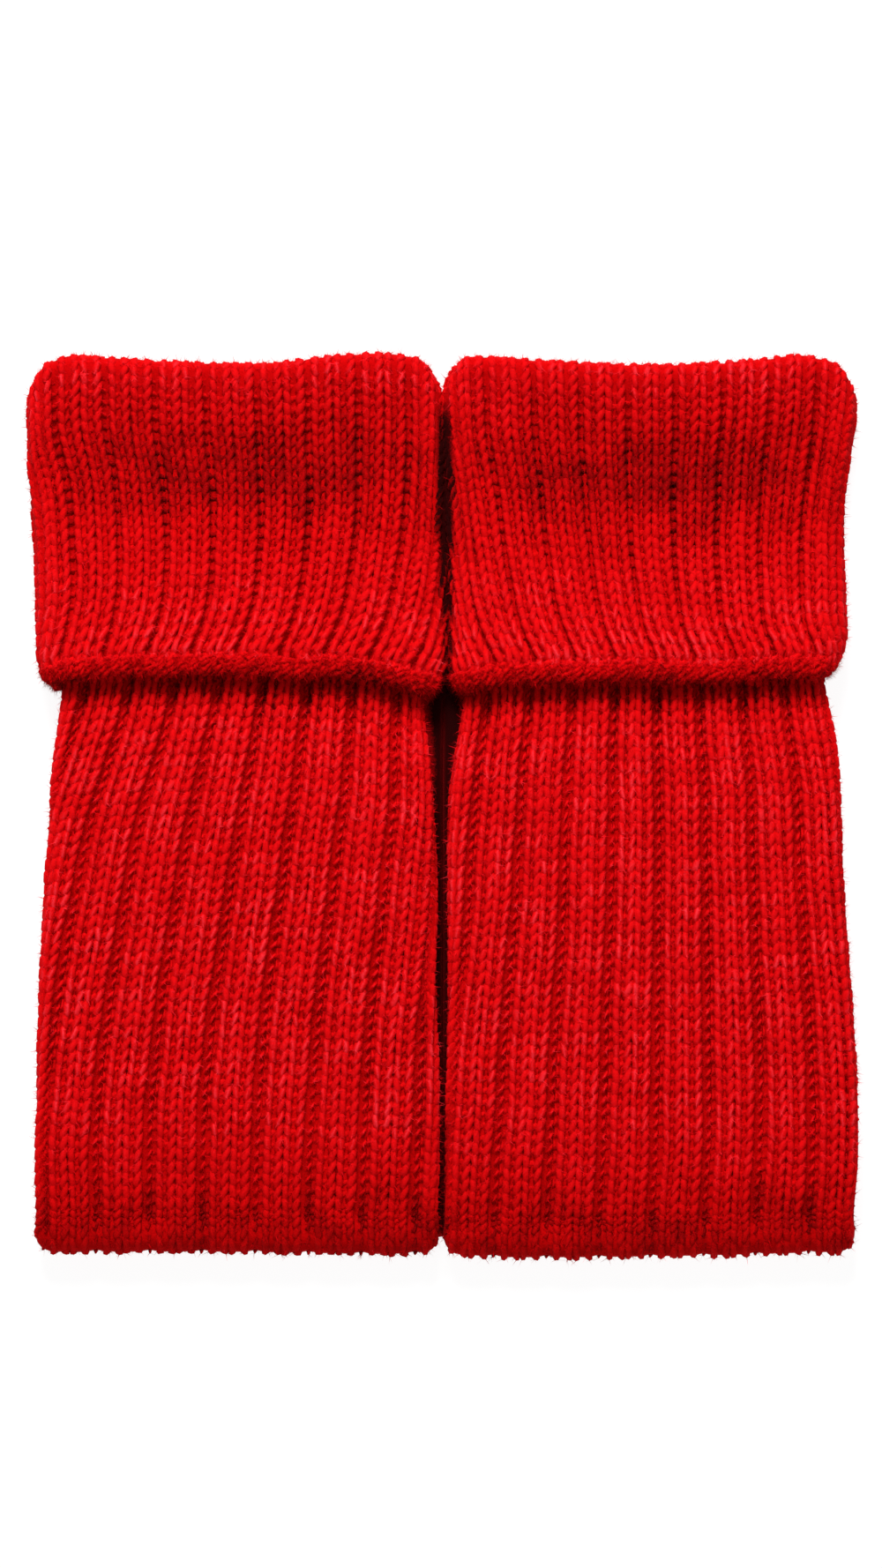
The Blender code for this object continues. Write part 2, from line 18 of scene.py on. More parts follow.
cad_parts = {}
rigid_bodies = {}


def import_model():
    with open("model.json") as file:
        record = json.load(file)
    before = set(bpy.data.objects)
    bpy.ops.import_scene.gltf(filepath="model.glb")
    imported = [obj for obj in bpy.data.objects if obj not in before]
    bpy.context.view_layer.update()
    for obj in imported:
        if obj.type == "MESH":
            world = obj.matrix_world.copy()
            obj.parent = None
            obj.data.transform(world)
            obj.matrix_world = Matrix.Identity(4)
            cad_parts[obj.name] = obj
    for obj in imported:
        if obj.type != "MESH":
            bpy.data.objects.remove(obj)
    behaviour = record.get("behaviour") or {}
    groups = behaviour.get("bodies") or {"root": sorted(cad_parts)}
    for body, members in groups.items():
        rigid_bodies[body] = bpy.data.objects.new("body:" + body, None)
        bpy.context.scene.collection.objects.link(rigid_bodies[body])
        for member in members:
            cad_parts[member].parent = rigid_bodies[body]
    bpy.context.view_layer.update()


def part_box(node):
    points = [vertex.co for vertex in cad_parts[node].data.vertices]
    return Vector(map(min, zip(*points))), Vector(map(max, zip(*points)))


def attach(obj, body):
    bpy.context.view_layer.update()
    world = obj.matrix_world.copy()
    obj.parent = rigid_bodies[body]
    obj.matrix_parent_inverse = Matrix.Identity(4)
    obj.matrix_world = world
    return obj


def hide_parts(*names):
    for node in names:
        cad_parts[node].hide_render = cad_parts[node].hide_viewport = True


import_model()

bl_info = {
    "name": "Rib knit leg warmers",
    "version": (1, 0, 0),
    "blender": (4, 5, 0),
    "location": "View3D > Sidebar > Leg warmers",
    "description": "Knits a pair of ribbed leg warmers with turned-down cuffs",
    "category": "Mesh",
}

MM = 0.001
SIDES = ("left", "right")

# Angles of a loop's points, from one foot to the next, closer together where it shows
KNIT_ANGLES = (0, 44, 74, 106, 136, 180, 224, 254, 286, 316)
# Half width of the furrow of purls between two ribs, in repeats. The cuff's is drawn shut
CUFF_FURROW = 0.06
LEG_FURROW = 0.13
# The strand that crosses the leg's furrow: half length in row pitches, slant and thickness
PURL_REACH = 0.40
PURL_SLANT = 0.22
PURL_THICKNESS = 0.46
PURL_DEPTH = 2.0 * MM
PURL_SINK = 0.9 * MM
# Its points: part of its half length, and how far each is in front
PURL_POINTS = ((-1.0, 0.3), (-0.5, 0.8), (0.0, 1.0), (0.5, 0.8), (1.0, 0.2))

# How unevenly each stitch is pulled, as shares of its own sizes
UNEVEN_SWING = 0.12
UNEVEN_REACH = 0.06
UNEVEN_LIFT = 0.12
UNEVEN_LEAN = (0.4, 1.6)
UNEVEN_SLANT = 0.2
UNEVEN_STRAND = 0.15
UNEVEN_PLACE = 0.01
# How far the painted highlight of a stitch may differ, at random
STITCH_SHINE = (0.5, 1.0)
# Slow unevenness of the knitting, as smooth noise: its seed, its grain and its size
Drift = namedtuple("Drift", "seed grain size")
SURFACE_DRIFT = Drift(3.0, 1.0, 0.35 * MM)
COLUMN_DRIFT = Drift(7.0, 0.4, 0.03)
ROW_DRIFT = Drift(11.0, 0.5, 0.35 * MM)
YARN_DRIFT = Drift(17.0, 0.2, 0.25)
# The noise at a grain of 1: steps of it in one repeat, and the length of one step
DRIFT_ACROSS = 0.31
DRIFT_ALONG = 45.0 * MM
# Share of a stitch's painted highlight that it loses down in a furrow, as painted shade
FURROW_HIGHLIGHT_LOSS = 0.3
YARN_BEVEL = 1

# The leg: how far it reaches up inside the cuff, and its first row of yarn there
LEG_TUCK = 12.0 * MM
LEG_FIRST_RUN = 5.0 * MM
# Side folds of the flattened leg. Nothing on them goes deeper than the depth
SIDE_RADIUS = 3.7 * MM
SIDE_WRAP = math.radians(150)
SIDE_DEPTH = 3.2 * MM
# Fold at the leg's bottom, which is drawn out longer than it is high
FOLD_RADIUS = 7.5 * MM
FOLD_STRETCH = 1.55
FOLD_NARROWING = 2.4 * MM
FOLD_STEP = math.radians(5)
FOLD_END = math.radians(160)
# Furrows are pulled nearly flat round a fold, where the yarn lies a little fuller
FOLD_SMOOTHING = 0.85
FOLD_FILL = 1.5 * MM

# The cuff: the gap to its hem, where it starts under that, and where its middle is read.
# Then its turned top edge, with how far it tucks in and how far before it the ribs flatten
GAP = 0.4 * MM
CUFF_START = -3.0 * MM
CUFF_MIDDLE = 80.0 * MM
TURN_RADIUS = 3.3 * MM
TURN_TUCK = 7.0 * MM
TURN_REACH = 11.0 * MM
# How far its front's rows of yarn run on, from the side edges under the back
CUFF_WRAP = 24.0 * MM
# Its ribs fade out at the middle of its back, over this share of the way round
BACK_FADE = 0.05
# Rows of yarn go all round the cuff's mouth, from this far before its turned edge
MOUTH_REACH = 8.0 * MM
# The last rows by the hem are looser
LOOSE_REACH = 18.0 * MM
LOOSE_STRETCH = 0.18
# The cloth rises to its hem and curls down over it
CURL_REACH = 7.6 * MM
CURL_DROP = 4.2 * MM
CURL_MOST = 0.97
HEM_RISE = 1.6 * MM
HEM_RISE_REACH = 22.0 * MM
# The cuffs stand this far from their meeting line above, and touch along it below
CUFFS_APART = 0.4 * MM
CUFFS_TOUCH = -1.0 * MM
# Rounded lower corners
CORNER_WIDTH = 5.5 * MM
CORNER_HEIGHT = 11.0 * MM
CORNER_POWER = 9
CORNER_BEND = 0.98

# The cuff sags between its turned top and its hem: the span is in shares of its front, and
# the skew moves the deepest place up
CUFF_SAG = 3.0 * MM
CUFF_SAG_SPAN = (0.08, 0.97)
CUFF_SAG_SKEW = 1.45
CUFF_SAG_POWER = 1.4
# The leg droops before its bottom fold
LEG_DROOP = 1.8 * MM
LEG_DROOP_REACH = 34.0 * MM
# Painted shade where the cloth sags, with its painted highlight dimmed: less so at the cuff's
# sides and more in furrows
CUFF_SAG_SHADE = 0.34
CUFF_SAG_SIDES = 0.5
CUFF_SAG_WIDENING = 1.4
LEG_DROOP_SHADE = 0.22
SAG_HIGHLIGHT_LOSS = 0.75
SAG_FURROWS = 0.22
# The hem's shadow on the leg, painted into the yarn's tone
HEM_SHADOW = 0.45
HEM_SHADOW_START = 4.0 * MM
HEM_SHADOW_FADE = 9.0 * MM
# Painted shade between the two, where little light comes down: where that begins, and how
# far it reaches
GAP_MIDDLE = 0.7 * MM
GAP_REACH = 10.0 * MM
GAP_NARROW = 1.6 * MM
GAP_TOP = 12.5 * MM
GAP_FADE = 3.5 * MM
GAP_TOP_FADE = 12.0 * MM
GAP_ENDS = (-126.5 * MM, 122.5 * MM)
GAP_SHADE = 0.75
GAP_CORE = 1.5

# Shells under the yarn, with their steps across and along
SHELL_DEPTH = 2.1 * MM
SHELL_SIDE_DEPTH = 0.7 * MM
SHELL_WALL = 0.6 * MM
# Painted shade in the shells' furrows
FURROW_SHADE = 0.12
CUFF_SHELL_STEPS = (160, 40)
LEG_SHELL_STEPS = (110, 60)
LAYER_STEPS = (80, 40)
MERGE = 0.01 * MM

# Layers folded under and inside the leg: ends along the tube and space to their neighbours
UNDER_ENDS = (-127.0 * MM, 40.5 * MM)
INNER_ENDS = (-100.0 * MM, 48.0 * MM)
LAYERS_MEET = -0.02 * MM
UNDER_INSET = 0.7 * MM
UNDER_GAP = 0.8 * MM
# Painted shade on the stitches of the under layers, which lie in the leg's shade
UNDER_SHADE = 0.15
UNDER_RELIEF = 0.3
UNDER_PLACES = (-0.05, 1.05)
YARN_INSET = 1.5 * MM
INNER_INSET = SIDE_RADIUS + 0.9 * MM
INNER_DROP = 5.2 * MM

# Rolled hem of the cuff, with the ribs just showing in it. The steps of its softness are
# those of the noise for once round the cuff and for a radian of the roll
HEM_HEIGHT = 7.0 * MM
HEM_THICKNESS = 4.8 * MM
HEM_PROUD = -0.5 * MM
HEM_LOWER = 0.7 * MM
HEM_WAVER = Drift(33.0, 0.3, 1.3 * MM)
HEM_WAVER_LENGTH = 13.0 * MM
# Its section is a little squarer than round: powers of its two ways out
HEM_POWERS = (0.7, 0.8)
HEM_STEPS = (240, 20)
HEM_REPEATS = 34
HEM_RIB = 0.15 * MM
HEM_SOFTNESS = Drift(5.0, 0.5, 0.4 * MM)
HEM_SOFTNESS_STEPS = (90, 6.0 * MM)
HEM_SINK = 0.9 * MM
# Painted shade on the hem's loops, darker towards the underside of the roll
HEM_SHADE = 0.45
# Rows of small loops on the roll: their angles round it in degrees, size and unevenness
CAST_ON_TURNS = (56, 32, 9, -14, -38, -62, -84)
CAST_ON_RADIUS = 0.85 * MM
CAST_ON_LOOP = 3.1 * MM
CAST_ON_STEPS = 8
CAST_ON_SPAN = (0.16, 0.84)
CAST_ON_STAGGER = 0.37
CAST_ON_SWING = 15
CAST_ON_UNEVEN = 6
CAST_ON_LIFT = 0.35 * MM
CAST_ON_DRIFT = Drift(9.0, 0.5, 1.1 * MM)
CAST_ON_DRIFT_STEPS = (120, 5.0 * MM)
CAST_ON_SHIFT = Drift(21.0, 1.0, 3.0)
CAST_ON_SHIFT_STEP = 0.5
CAST_ON_BUNCHING = 0.9
CAST_ON_LAG = 1.0
# Painted highlight on the loops: a base, and more where a loop lies in front
CAST_ON_HIGHLIGHT = (0.1, 0.25)
CAST_ON_THICKNESS = (-0.2, 0.1)

# Loose fibres: how far down their roots may face, how they stand and how deep they start
FIBRE_FACING = -0.2
FIBRE_RISE = 0.6
FIBRE_TWIST = 0.2
FIBRE_SHORTEST = 0.4
FIBRE_SINK = 0.1 * MM

# Seeds of the random draws: the steps from row to row, and the first ones of the others
CUFF_SEEDS = 7
LEG_SEEDS = 13
UNDER_SEED = 900
CAST_ON_SEED = 90
FIBRE_SEED = 40

# Tones of the yarn's ramp and their places on it: the gap and furrow tones are painted
# shade, the side tone is about the yarn's own red, the crown and tip tones painted highlights
YARN_TONES = ("gap", "furrow", "side", "crown", "tip")
TONE_PLACES = (0.0, 0.15, 0.30, 0.60, 0.95)
# What makes a point of the yarn paler: tufts of fibre, patches of dye, and its painted
# highlight less its painted shade
TUFT_SIZE = 0.6 * MM
TUFT_WEIGHT = 0.4
PATCH_SIZE = 11 * MM
PATCH_WEIGHT = 0.3
PAINTED_LIGHTING_WEIGHT = 0.6

# Lights: place in metres, size of the soft square and power. Both aim at the origin
KEY_LIGHT = ((-0.2, 1.7, 1.4), 0.7, 60)
FILL_LIGHT = ((0.2, -0.2, 2.6), 1.6, 7)
WORLD_LIGHT = 0.3
# Half size of the floor, and how far it stays under the cloth
FLOOR_SIZE = 40.0
FLOOR_DROP = 0.3 * MM

# Camera, straight over the pair
CAMERA_DISTANCE = 2.0
CAMERA_FOCUS_HEIGHT = 15.0 * MM
SENSOR_HEIGHT = 36.0
FRAME_HEIGHT = 457.8 * MM
FRAME_CENTRE = (-0.5 * MM, 5.9 * MM)


def table(kind, *rows):
    """Rows of a table as named tuples of one kind."""
    return tuple(kind(*row) for row in rows)


# Furrow and crown of the two knit wales in one rib repeat: place in the repeat and height
RibPoint = namedtuple("RibPoint", "place height")
RIB_PROFILE = table(
    RibPoint,
    (0.00, 0.00), (0.16, 0.78), (0.30, 1.00), (0.50, 0.74), (0.70, 1.00), (0.84, 0.78),
)

# Side edges at heights along the tube, in millimetres
EdgeRow = namedtuple("EdgeRow", "height left right")
CUFF_EDGES = {
    "left": table(
        EdgeRow,
        (36, -119.3, 0.0), (44, -119.6, 0.6), (60, -119.8, 0.9), (75, -120.1, 0.3),
        (90, -120.9, -0.4), (104, -122.0, -0.5), (119, -122.3, -0.7),
    ),
    "right": table(
        EdgeRow,
        (36, 2.0, 116.8), (44, 2.4, 118.5), (60, 2.8, 118.7), (75, 2.4, 117.9),
        (90, 2.2, 118.4), (104, 1.5, 120.0), (119, 0.6, 121.8),
    ),
}
LEG_EDGES = {
    "left": table(
        EdgeRow,
        (-120, -119.6, -0.9), (-105, -119.8, -0.7), (-80, -119.2, -0.7), (-50, -118.4, -1.6),
        (-25, -117.2, -1.1), (0, -115.6, -1.7), (15, -114.3, -2.7), (30, -112.4, -4.8),
        (48, -111.8, -5.8),
    ),
    "right": table(
        EdgeRow,
        (-120, -0.2, 121.0), (-105, 0.4, 122.2), (-80, 0.7, 121.8), (-50, 1.1, 119.8),
        (-25, 0.9, 118.0), (0, 1.3, 116.8), (15, 2.8, 115.8), (29, 5.2, 113.2),
        (44, 6.2, 110.8),
    ),
}

# Where one furrow lies at heights along the tube, and the width of a rib repeat there
RibRow = namedtuple("RibRow", "height furrow repeat")
CUFF_RIBS = {
    "left": table(
        RibRow,
        (36, -64.5, 12.8), (44, -61.0, 12.9), (52, -57.4, 13.1), (62, -54.8, 13.3),
        (78, -53.3, 13.8), (93, -53.3, 14.2), (109, -54.1, 14.8), (124, -54.5, 14.8),
    ),
    "right": table(
        RibRow,
        (36, 76.0, 11.6), (44, 73.2, 11.7), (52, 70.0, 11.8), (62, 68.6, 12.1),
        (78, 67.5, 12.5), (93, 67.5, 13.0), (109, 68.0, 13.7), (124, 68.0, 13.9),
    ),
}
LEG_RIBS = {
    "left": table(
        RibRow,
        (-125, -70.6, 15.5), (-95, -70.0, 15.7), (-64, -67.5, 15.4), (-33, -63.3, 15.1),
        (-2, -58.6, 14.6), (13, -55.9, 13.9), (29, -53.3, 13.2), (48, -51.5, 12.8),
    ),
    "right": table(
        RibRow,
        (-125, 60.8, 15.4), (-95, 62.3, 15.3), (-64, 62.6, 14.8), (-33, 63.0, 14.0),
        (-2, 63.1, 13.5), (13, 62.8, 13.1), (29, 62.6, 12.5), (48, 62.4, 12.3),
    ),
}

# Ends of each piece, across the tube, in millimetres
EndRow = namedtuple("EndRow", "across height")
TOP_TURN = {
    "left": table(
        EndRow,
        (-122.4, 118.5), (-120.6, 122.0), (-117.9, 125.2), (-114.0, 127.4), (-107.0, 129.0),
        (-92.0, 127.8), (-53.0, 126.6), (-24.0, 129.4), (-10.0, 128.8), (-5.2, 127.2),
        (-2.0, 123.6), (-0.3, 119.0),
    ),
    "right": table(
        EndRow,
        (0.3, 119.5), (1.5, 123.6), (4.2, 127.0), (8.5, 128.6), (33.0, 127.2), (60.0, 126.2),
        (88.0, 127.2), (105.0, 128.9), (113.0, 127.3), (117.0, 125.4), (120.2, 122.0),
        (121.9, 118.5),
    ),
}
HEM_EDGE = {
    "left": table(
        EndRow,
        (-118, 35.0), (-102, 37.2), (-60, 38.2), (-30, 37.2), (-12, 34.6), (0, 31.8),
    ),
    "right": table(
        EndRow,
        (2, 32.2), (14, 34.6), (40, 36.2), (75, 36.2), (105, 37.4), (118, 37.6),
    ),
}
BOTTOM_EDGE = {
    "left": table(
        EndRow,
        (-119, -130.9), (-60, -130.9), (-20, -131.5), (-1, -131.2),
    ),
    "right": table(
        EndRow,
        (1, -131.4), (20, -132.5), (70, -132.1), (120, -130.8),
    ),
}

# Height of each piece's upper surface over the floor, along the tube, in millimetres
RiseRow = namedtuple("RiseRow", "height rise")
CUFF_RISE = table(
    RiseRow,
    (34, 16.2), (44, 16.0), (60, 15.2), (90, 14.6), (128, 14.1),
)
LEG_RISE = table(
    RiseRow,
    (-130, 15.0), (-60, 15.3), (-10, 15.2), (8, 14.6), (22, 13.5), (36, 12.3), (48, 11.6),
)


def read(rows, place, column):
    """Read a column of a table at a place between its rows, on a smooth curve."""
    first = rows[0][0]
    last = rows[-1][0]
    place = min(max(place / MM, first), last)
    index = 0
    while index < len(rows) - 2 and place > rows[index + 1][0]:
        index += 1
    start = rows[index]
    end = rows[index + 1]
    before = rows[max(index - 1, 0)]
    after = rows[min(index + 2, len(rows) - 1)]
    span = end[0] - start[0]
    a = getattr(start, column)
    b = getattr(end, column)
    slope_a = (b - getattr(before, column)) / (end[0] - before[0]) * span
    slope_b = (getattr(after, column) - a) / (after[0] - start[0]) * span
    t = (place - start[0]) / span
    value = (
        a * (2 * t**3 - 3 * t**2 + 1)
        + slope_a * (t**3 - 2 * t**2 + t)
        + b * (3 * t**2 - 2 * t**3)
        + slope_b * (t**3 - t**2)
    )
    return value * MM


def within(share):
    """A share kept between 0 and 1."""
    return min(max(share, 0.0), 1.0)


def flat_tube(arc, left, right, radius):
    """Point on a flattened tube's section, and its outward direction.

    The arc is X on the flat front, and runs on round the sides and under the back. The
    point is given as X and as the drop below the front.
    """
    if arc < left + radius:
        side = -1
        base = left + radius
    elif arc > right - radius:
        side = 1
        base = right - radius
    else:
        return arc, 0.0, 0.0, 1.0
    angle = abs(arc - base) / radius
    if angle <= math.pi:
        across = base + side * radius * math.sin(angle)
        drop = radius * (1 - math.cos(angle))
        return across, drop, side * math.sin(angle), math.cos(angle)
    under = (angle - math.pi) * radius
    return base - side * under, 2 * radius, 0.0, -1.0


def arc_round(left, right, radius, share):
    """Arc on a flattened tube at a share of the way round it, from the middle of its back."""
    half = right - left - 2 * radius + math.pi * radius
    return (left + right) / 2 + (2 * share - 1) * half


def leg_line(side, across, share):
    """Height along the leg, from its top inside the cuff (0) to the bottom fold (1)."""
    top = read(HEM_EDGE[side], across, "height") + LEG_TUCK
    fold = read(BOTTOM_EDGE[side], across, "height") + FOLD_RADIUS * FOLD_STRETCH
    return top + (fold - top) * share


def leg_limits(side, share, turn):
    """Left and right edges of the leg in one row, and its middle height."""
    rows = LEG_EDGES[side]
    middle = (rows[0].left + rows[0].right) / 2 * MM
    height = leg_line(side, middle, share)
    narrowing = FOLD_NARROWING * (1 - math.cos(turn)) / 2
    left = read(rows, height, "left") + narrowing
    right = read(rows, height, "right") - narrowing
    return left, right, height


def leg_point(side, place, share, turn, offset, relief=0.0):
    """Point on the leg's cloth at a place in repeats, out by an offset from the crowns.

    The relief is how much deeper the point is where the cloth lies flat.
    """
    left, right, height = leg_limits(side, share, turn)
    repeat = read(LEG_RIBS[side], height, "repeat")
    arc = read(LEG_RIBS[side], height, "furrow") + repeat * place
    across, drop, out_x, out_z = flat_tube(arc, left, right, SIDE_RADIUS)
    offset -= relief * (1 - abs(out_x))
    if drop > 0:
        offset = max(offset, -SIDE_DEPTH)
    height = leg_line(side, across, share)
    rise = read(LEG_RISE, height, "rise")
    reach = FOLD_RADIUS - drop + out_z * offset
    return (
        across + out_x * offset,
        height - reach * FOLD_STRETCH * math.sin(turn),
        rise - FOLD_RADIUS + reach * math.cos(turn),
    )


def cuff_line(side, across, share):
    """Height along the cuff, from just over its hem (0) to its turned top edge (1)."""
    hem = read(HEM_EDGE[side], across, "height") + HEM_HEIGHT + GAP
    top = read(TOP_TURN[side], across, "height")
    return hem + (top - hem) * share


def gap_shade(point):
    """Painted shade at a point between the two leg warmers, from 0 to GAP_SHADE."""
    depth = max(GAP_TOP - point[2], 0.0)
    reach = GAP_NARROW + GAP_REACH * within(depth / GAP_TOP)
    near = within(GAP_CORE * (1 - abs(point[0] - GAP_MIDDLE) / reach))
    lowest, highest = GAP_ENDS
    inside = min((point[1] - lowest) / GAP_FADE, (highest - point[1]) / GAP_TOP_FADE)
    return GAP_SHADE * near * within(depth / GAP_FADE) * within(inside)


def cuff_edges(side, height):
    """Left and right edges of a cuff at a height, with the two cuffs just apart."""
    left = read(CUFF_EDGES[side], height, "left")
    right = read(CUFF_EDGES[side], height, "right")
    facing = read(CUFF_EDGES["left"], height, "right"), read(CUFF_EDGES["right"], height, "left")
    meeting = sum(facing) / 2
    if side == "left":
        return left, meeting - CUFFS_APART
    return meeting + CUFFS_APART, right


def cuff_section(side, place, share):
    """Point on the cuff's flat section at a place in repeats, with half its thickness."""
    middle = read(CUFF_RIBS[side], CUFF_MIDDLE, "furrow")
    height = cuff_line(side, middle, share)
    radius = read(CUFF_RISE, height, "rise") / 2
    left, right = cuff_edges(side, height)
    repeat = read(CUFF_RIBS[side], height, "repeat")
    arc = read(CUFF_RIBS[side], height, "furrow") + repeat * place
    return (*flat_tube(arc, left, right, radius), radius)


def side_shift(side, across, height, out_x, out_z):
    """How far a point of the cuff or its hem moves across.

    The lower corners are rounded. Low down, where they face each other, the two cuffs touch.
    """
    left, right = cuff_edges(side, height)
    rise = height - read(HEM_EDGE[side], across, "height")
    low = within(1 - rise / CORNER_HEIGHT)
    place = (across - (left + right) / 2) / ((right - left) / 2)
    shift = -CORNER_WIDTH * (1 - math.sqrt(1 - CORNER_BEND * low * low)) * place**CORNER_POWER
    if (out_x > 0) == (side == "left"):
        shift *= max(1 + 2 * min(out_z, 0.0), 0.0)
        shift += out_x * (CUFFS_APART - CUFFS_TOUCH) * within(1 - 2 * out_z)
    return shift


def cuff_point(side, place, share, turn, offset, tuck, relief):
    """Point on the cuff's cloth, all round the tube, out by an offset from the crowns.

    The relief is how much deeper the point is where the cloth lies flat.
    """
    across, drop, out_x, out_z, radius = cuff_section(side, place, share)
    offset -= relief * (1 - abs(out_x))
    height = cuff_line(side, across, share)
    across += side_shift(side, across, height - tuck, out_x, out_z)
    reach = -TURN_RADIUS + (TURN_RADIUS + offset) * math.cos(turn)
    return (
        across + out_x * reach,
        height + (TURN_RADIUS + offset) * math.sin(turn) - tuck,
        2 * radius - drop + out_z * reach,
    )


class LegCloth:
    """The leg's cloth: down its front, over the bottom fold and under it."""

    def __init__(self, side):
        self.side = side
        edges = LEG_EDGES[side][0]
        middle = (edges.left + edges.right) / 2 * MM
        self.front = leg_line(side, middle, 0.0) - leg_line(side, middle, 1.0)
        self.runs = [0.0]
        while len(self.runs) * FOLD_STEP <= FOLD_END:
            turn = len(self.runs) * FOLD_STEP
            reach = FOLD_RADIUS * math.hypot(FOLD_STRETCH * math.cos(turn), math.sin(turn))
            self.runs.append(self.runs[-1] + reach * FOLD_STEP)
        self.end = self.front + self.runs[-1]
        self.furrow = LEG_FURROW
        self.direction = -1

    def stage(self, run):
        """Share of the front, and turn over the fold, after a run along the cloth."""
        over = run - self.front
        if over <= 0:
            return run / self.front, 0.0
        index = 0
        while index < len(self.runs) - 2 and over > self.runs[index + 1]:
            index += 1
        part = (over - self.runs[index]) / (self.runs[index + 1] - self.runs[index])
        return 1.0, (index + part) * FOLD_STEP

    def tone(self, run, part):
        """Painted shade and highlight loss: the hem's shadow, and where the cloth droops."""
        under = within(1 - (run - LEG_TUCK - HEM_SHADOW_START) / HEM_SHADOW_FADE)
        sag = self.sag(run)
        return HEM_SHADOW * under + LEG_DROOP_SHADE * sag, SAG_HIGHLIGHT_LOSS * sag

    def sag(self, run):
        """How far the cloth droops at a run, as a share of the whole droop."""
        near = within(1 - (self.front - run) / LEG_DROOP_REACH)
        return near * near

    def point(self, place, run, offset, relief=0.0):
        """Point on the cloth at a place in repeats, out by an offset from the crowns."""
        share, turn = self.stage(run)
        relief *= 1 - FOLD_SMOOTHING * math.sin(turn) ** 2
        offset += FOLD_FILL * math.sin(turn) ** 3
        relief += LEG_DROOP * self.sag(run) * max(math.cos(turn), 0.0)
        return leg_point(self.side, place, share, turn, offset, relief)

    def places(self, run):
        """Places of the two wrapped edges of the cloth, in repeats."""
        share, turn = self.stage(run)
        left, right, height = leg_limits(self.side, share, turn)
        furrow = read(LEG_RIBS[self.side], height, "furrow")
        repeat = read(LEG_RIBS[self.side], height, "repeat")
        wrap = SIDE_RADIUS * (SIDE_WRAP - 1)
        return (left - wrap - furrow) / repeat, (right + wrap - furrow) / repeat

    def looseness(self, run):
        """How far the stitches are stretched along the cloth at a run."""
        return 1.0


class CuffCloth:
    """The cuff's cloth: up from the hem, over the turned top and into its mouth."""

    def __init__(self, side):
        self.side = side
        self.middle = read(CUFF_RIBS[side], CUFF_MIDDLE, "furrow")
        self.front = cuff_line(side, self.middle, 1.0) - cuff_line(side, self.middle, 0.0)
        self.end = self.front + math.pi * TURN_RADIUS + TURN_TUCK
        self.furrow = CUFF_FURROW
        self.direction = 1

    def tone(self, run, part):
        """Painted shade and highlight loss where the cloth sags, most in its middle."""
        sag = self.sag(run) * (1 - CUFF_SAG_SIDES * within(CUFF_SAG_WIDENING * part * part))
        return CUFF_SAG_SHADE * sag, SAG_HIGHLIGHT_LOSS * sag

    def sag(self, run):
        """How far the cloth sags at a run, as a share of the whole sag."""
        first, last = CUFF_SAG_SPAN
        share = within((run / self.front - first) / (last - first))
        return math.sin(math.pi * share**CUFF_SAG_SKEW) ** CUFF_SAG_POWER

    def point(self, place, run, offset, relief=0.0):
        """Point on the cloth at a place in repeats, out by an offset from the crowns."""
        share = within(run / self.front)
        over = max(run - self.front, 0.0)
        turn = min(over / TURN_RADIUS, math.pi)
        near = within((run - self.front + TURN_REACH) / (TURN_REACH + TURN_RADIUS))
        relief *= 1 - FOLD_SMOOTHING * near * near * (3 - 2 * near)
        tuck = max(over - math.pi * TURN_RADIUS, 0.0)
        curl = min(max(-run, 0.0) / CURL_REACH, CURL_MOST)
        offset -= CURL_DROP * (1 - math.sqrt(1 - curl * curl))
        relief -= HEM_RISE * within(1 - run / HEM_RISE_REACH) ** 2
        relief += CUFF_SAG * self.sag(run)
        tuck += max(-run, 0.0)
        return cuff_point(self.side, place, share, turn, offset, tuck, relief)

    def places(self, run, whole=False):
        """Places of the cloth's two ends, in repeats: under the back, or meeting behind it."""
        share = within(run / self.front)
        height = cuff_line(self.side, self.middle, share)
        radius = read(CUFF_RISE, height, "rise") / 2
        left, right = cuff_edges(self.side, height)
        furrow = read(CUFF_RIBS[self.side], height, "furrow")
        repeat = read(CUFF_RIBS[self.side], height, "repeat")
        wrap = CUFF_WRAP
        if whole or run > self.front - MOUTH_REACH:
            wrap = (math.pi - 2) * radius + (right - left) / 2
        return (left - wrap - furrow) / repeat, (right + wrap - furrow) / repeat

    def looseness(self, run):
        """How far the stitches are stretched along the cloth at a run."""
        return 1.0 + LOOSE_STRETCH * within(1 - run / LOOSE_REACH)


class UnderCloth:
    """The outer side of the layers that are folded under the leg."""

    def __init__(self, side):
        self.side = side
        self.furrow = LEG_FURROW
        self.direction = -1

    def tone(self, run, part):
        """Painted shade of the cloth in the shade of the leg, with no highlight loss."""
        return UNDER_SHADE, 0.0

    def point(self, place, run, offset, relief=0.0):
        """Point on the cloth at a place in repeats, out by an offset from the crowns."""
        height = UNDER_ENDS[1] - run
        left, right, top = under_edges(self.side, height, UNDER_INSET)
        repeat = read(LEG_RIBS[self.side], height, "repeat")
        turn = top / 2 * math.pi / 2
        widest = left + top / 2 - turn if self.side == "left" else right - top / 2 + turn
        arc = widest + (place - 0.5) * repeat
        across, drop, out_x, out_z = flat_tube(arc, left, right, top / 2)
        offset -= relief * UNDER_RELIEF
        return across + out_x * offset, height, top - drop + out_z * offset

    def places(self, run):
        """Places of the two edges of the one rib that shows, in repeats."""
        return UNDER_PLACES


def rib_height(place):
    """Height of the rib at a place in its repeat, from 0 in the furrow to 1 on a crown."""
    place = place % 1.0
    points = RIB_PROFILE + (RibPoint(1.0, RIB_PROFILE[0].height),)
    for start, end in zip(points, points[1:]):
        if place <= end.place:
            share = (place - start.place) / (end.place - start.place)
            share = share * share * (3 - 2 * share)
            return start.height + share * (end.height - start.height)
    return 0.0


def drift(kind, place, run, step=0):
    """Smooth unevenness of a kind at a place and run, as hand-guided yarn shows."""
    across = place * DRIFT_ACROSS / kind.grain
    along = run / (kind.grain * DRIFT_ALONG)
    return kind.size * noise.noise(Vector((across, along, kind.seed + step)))


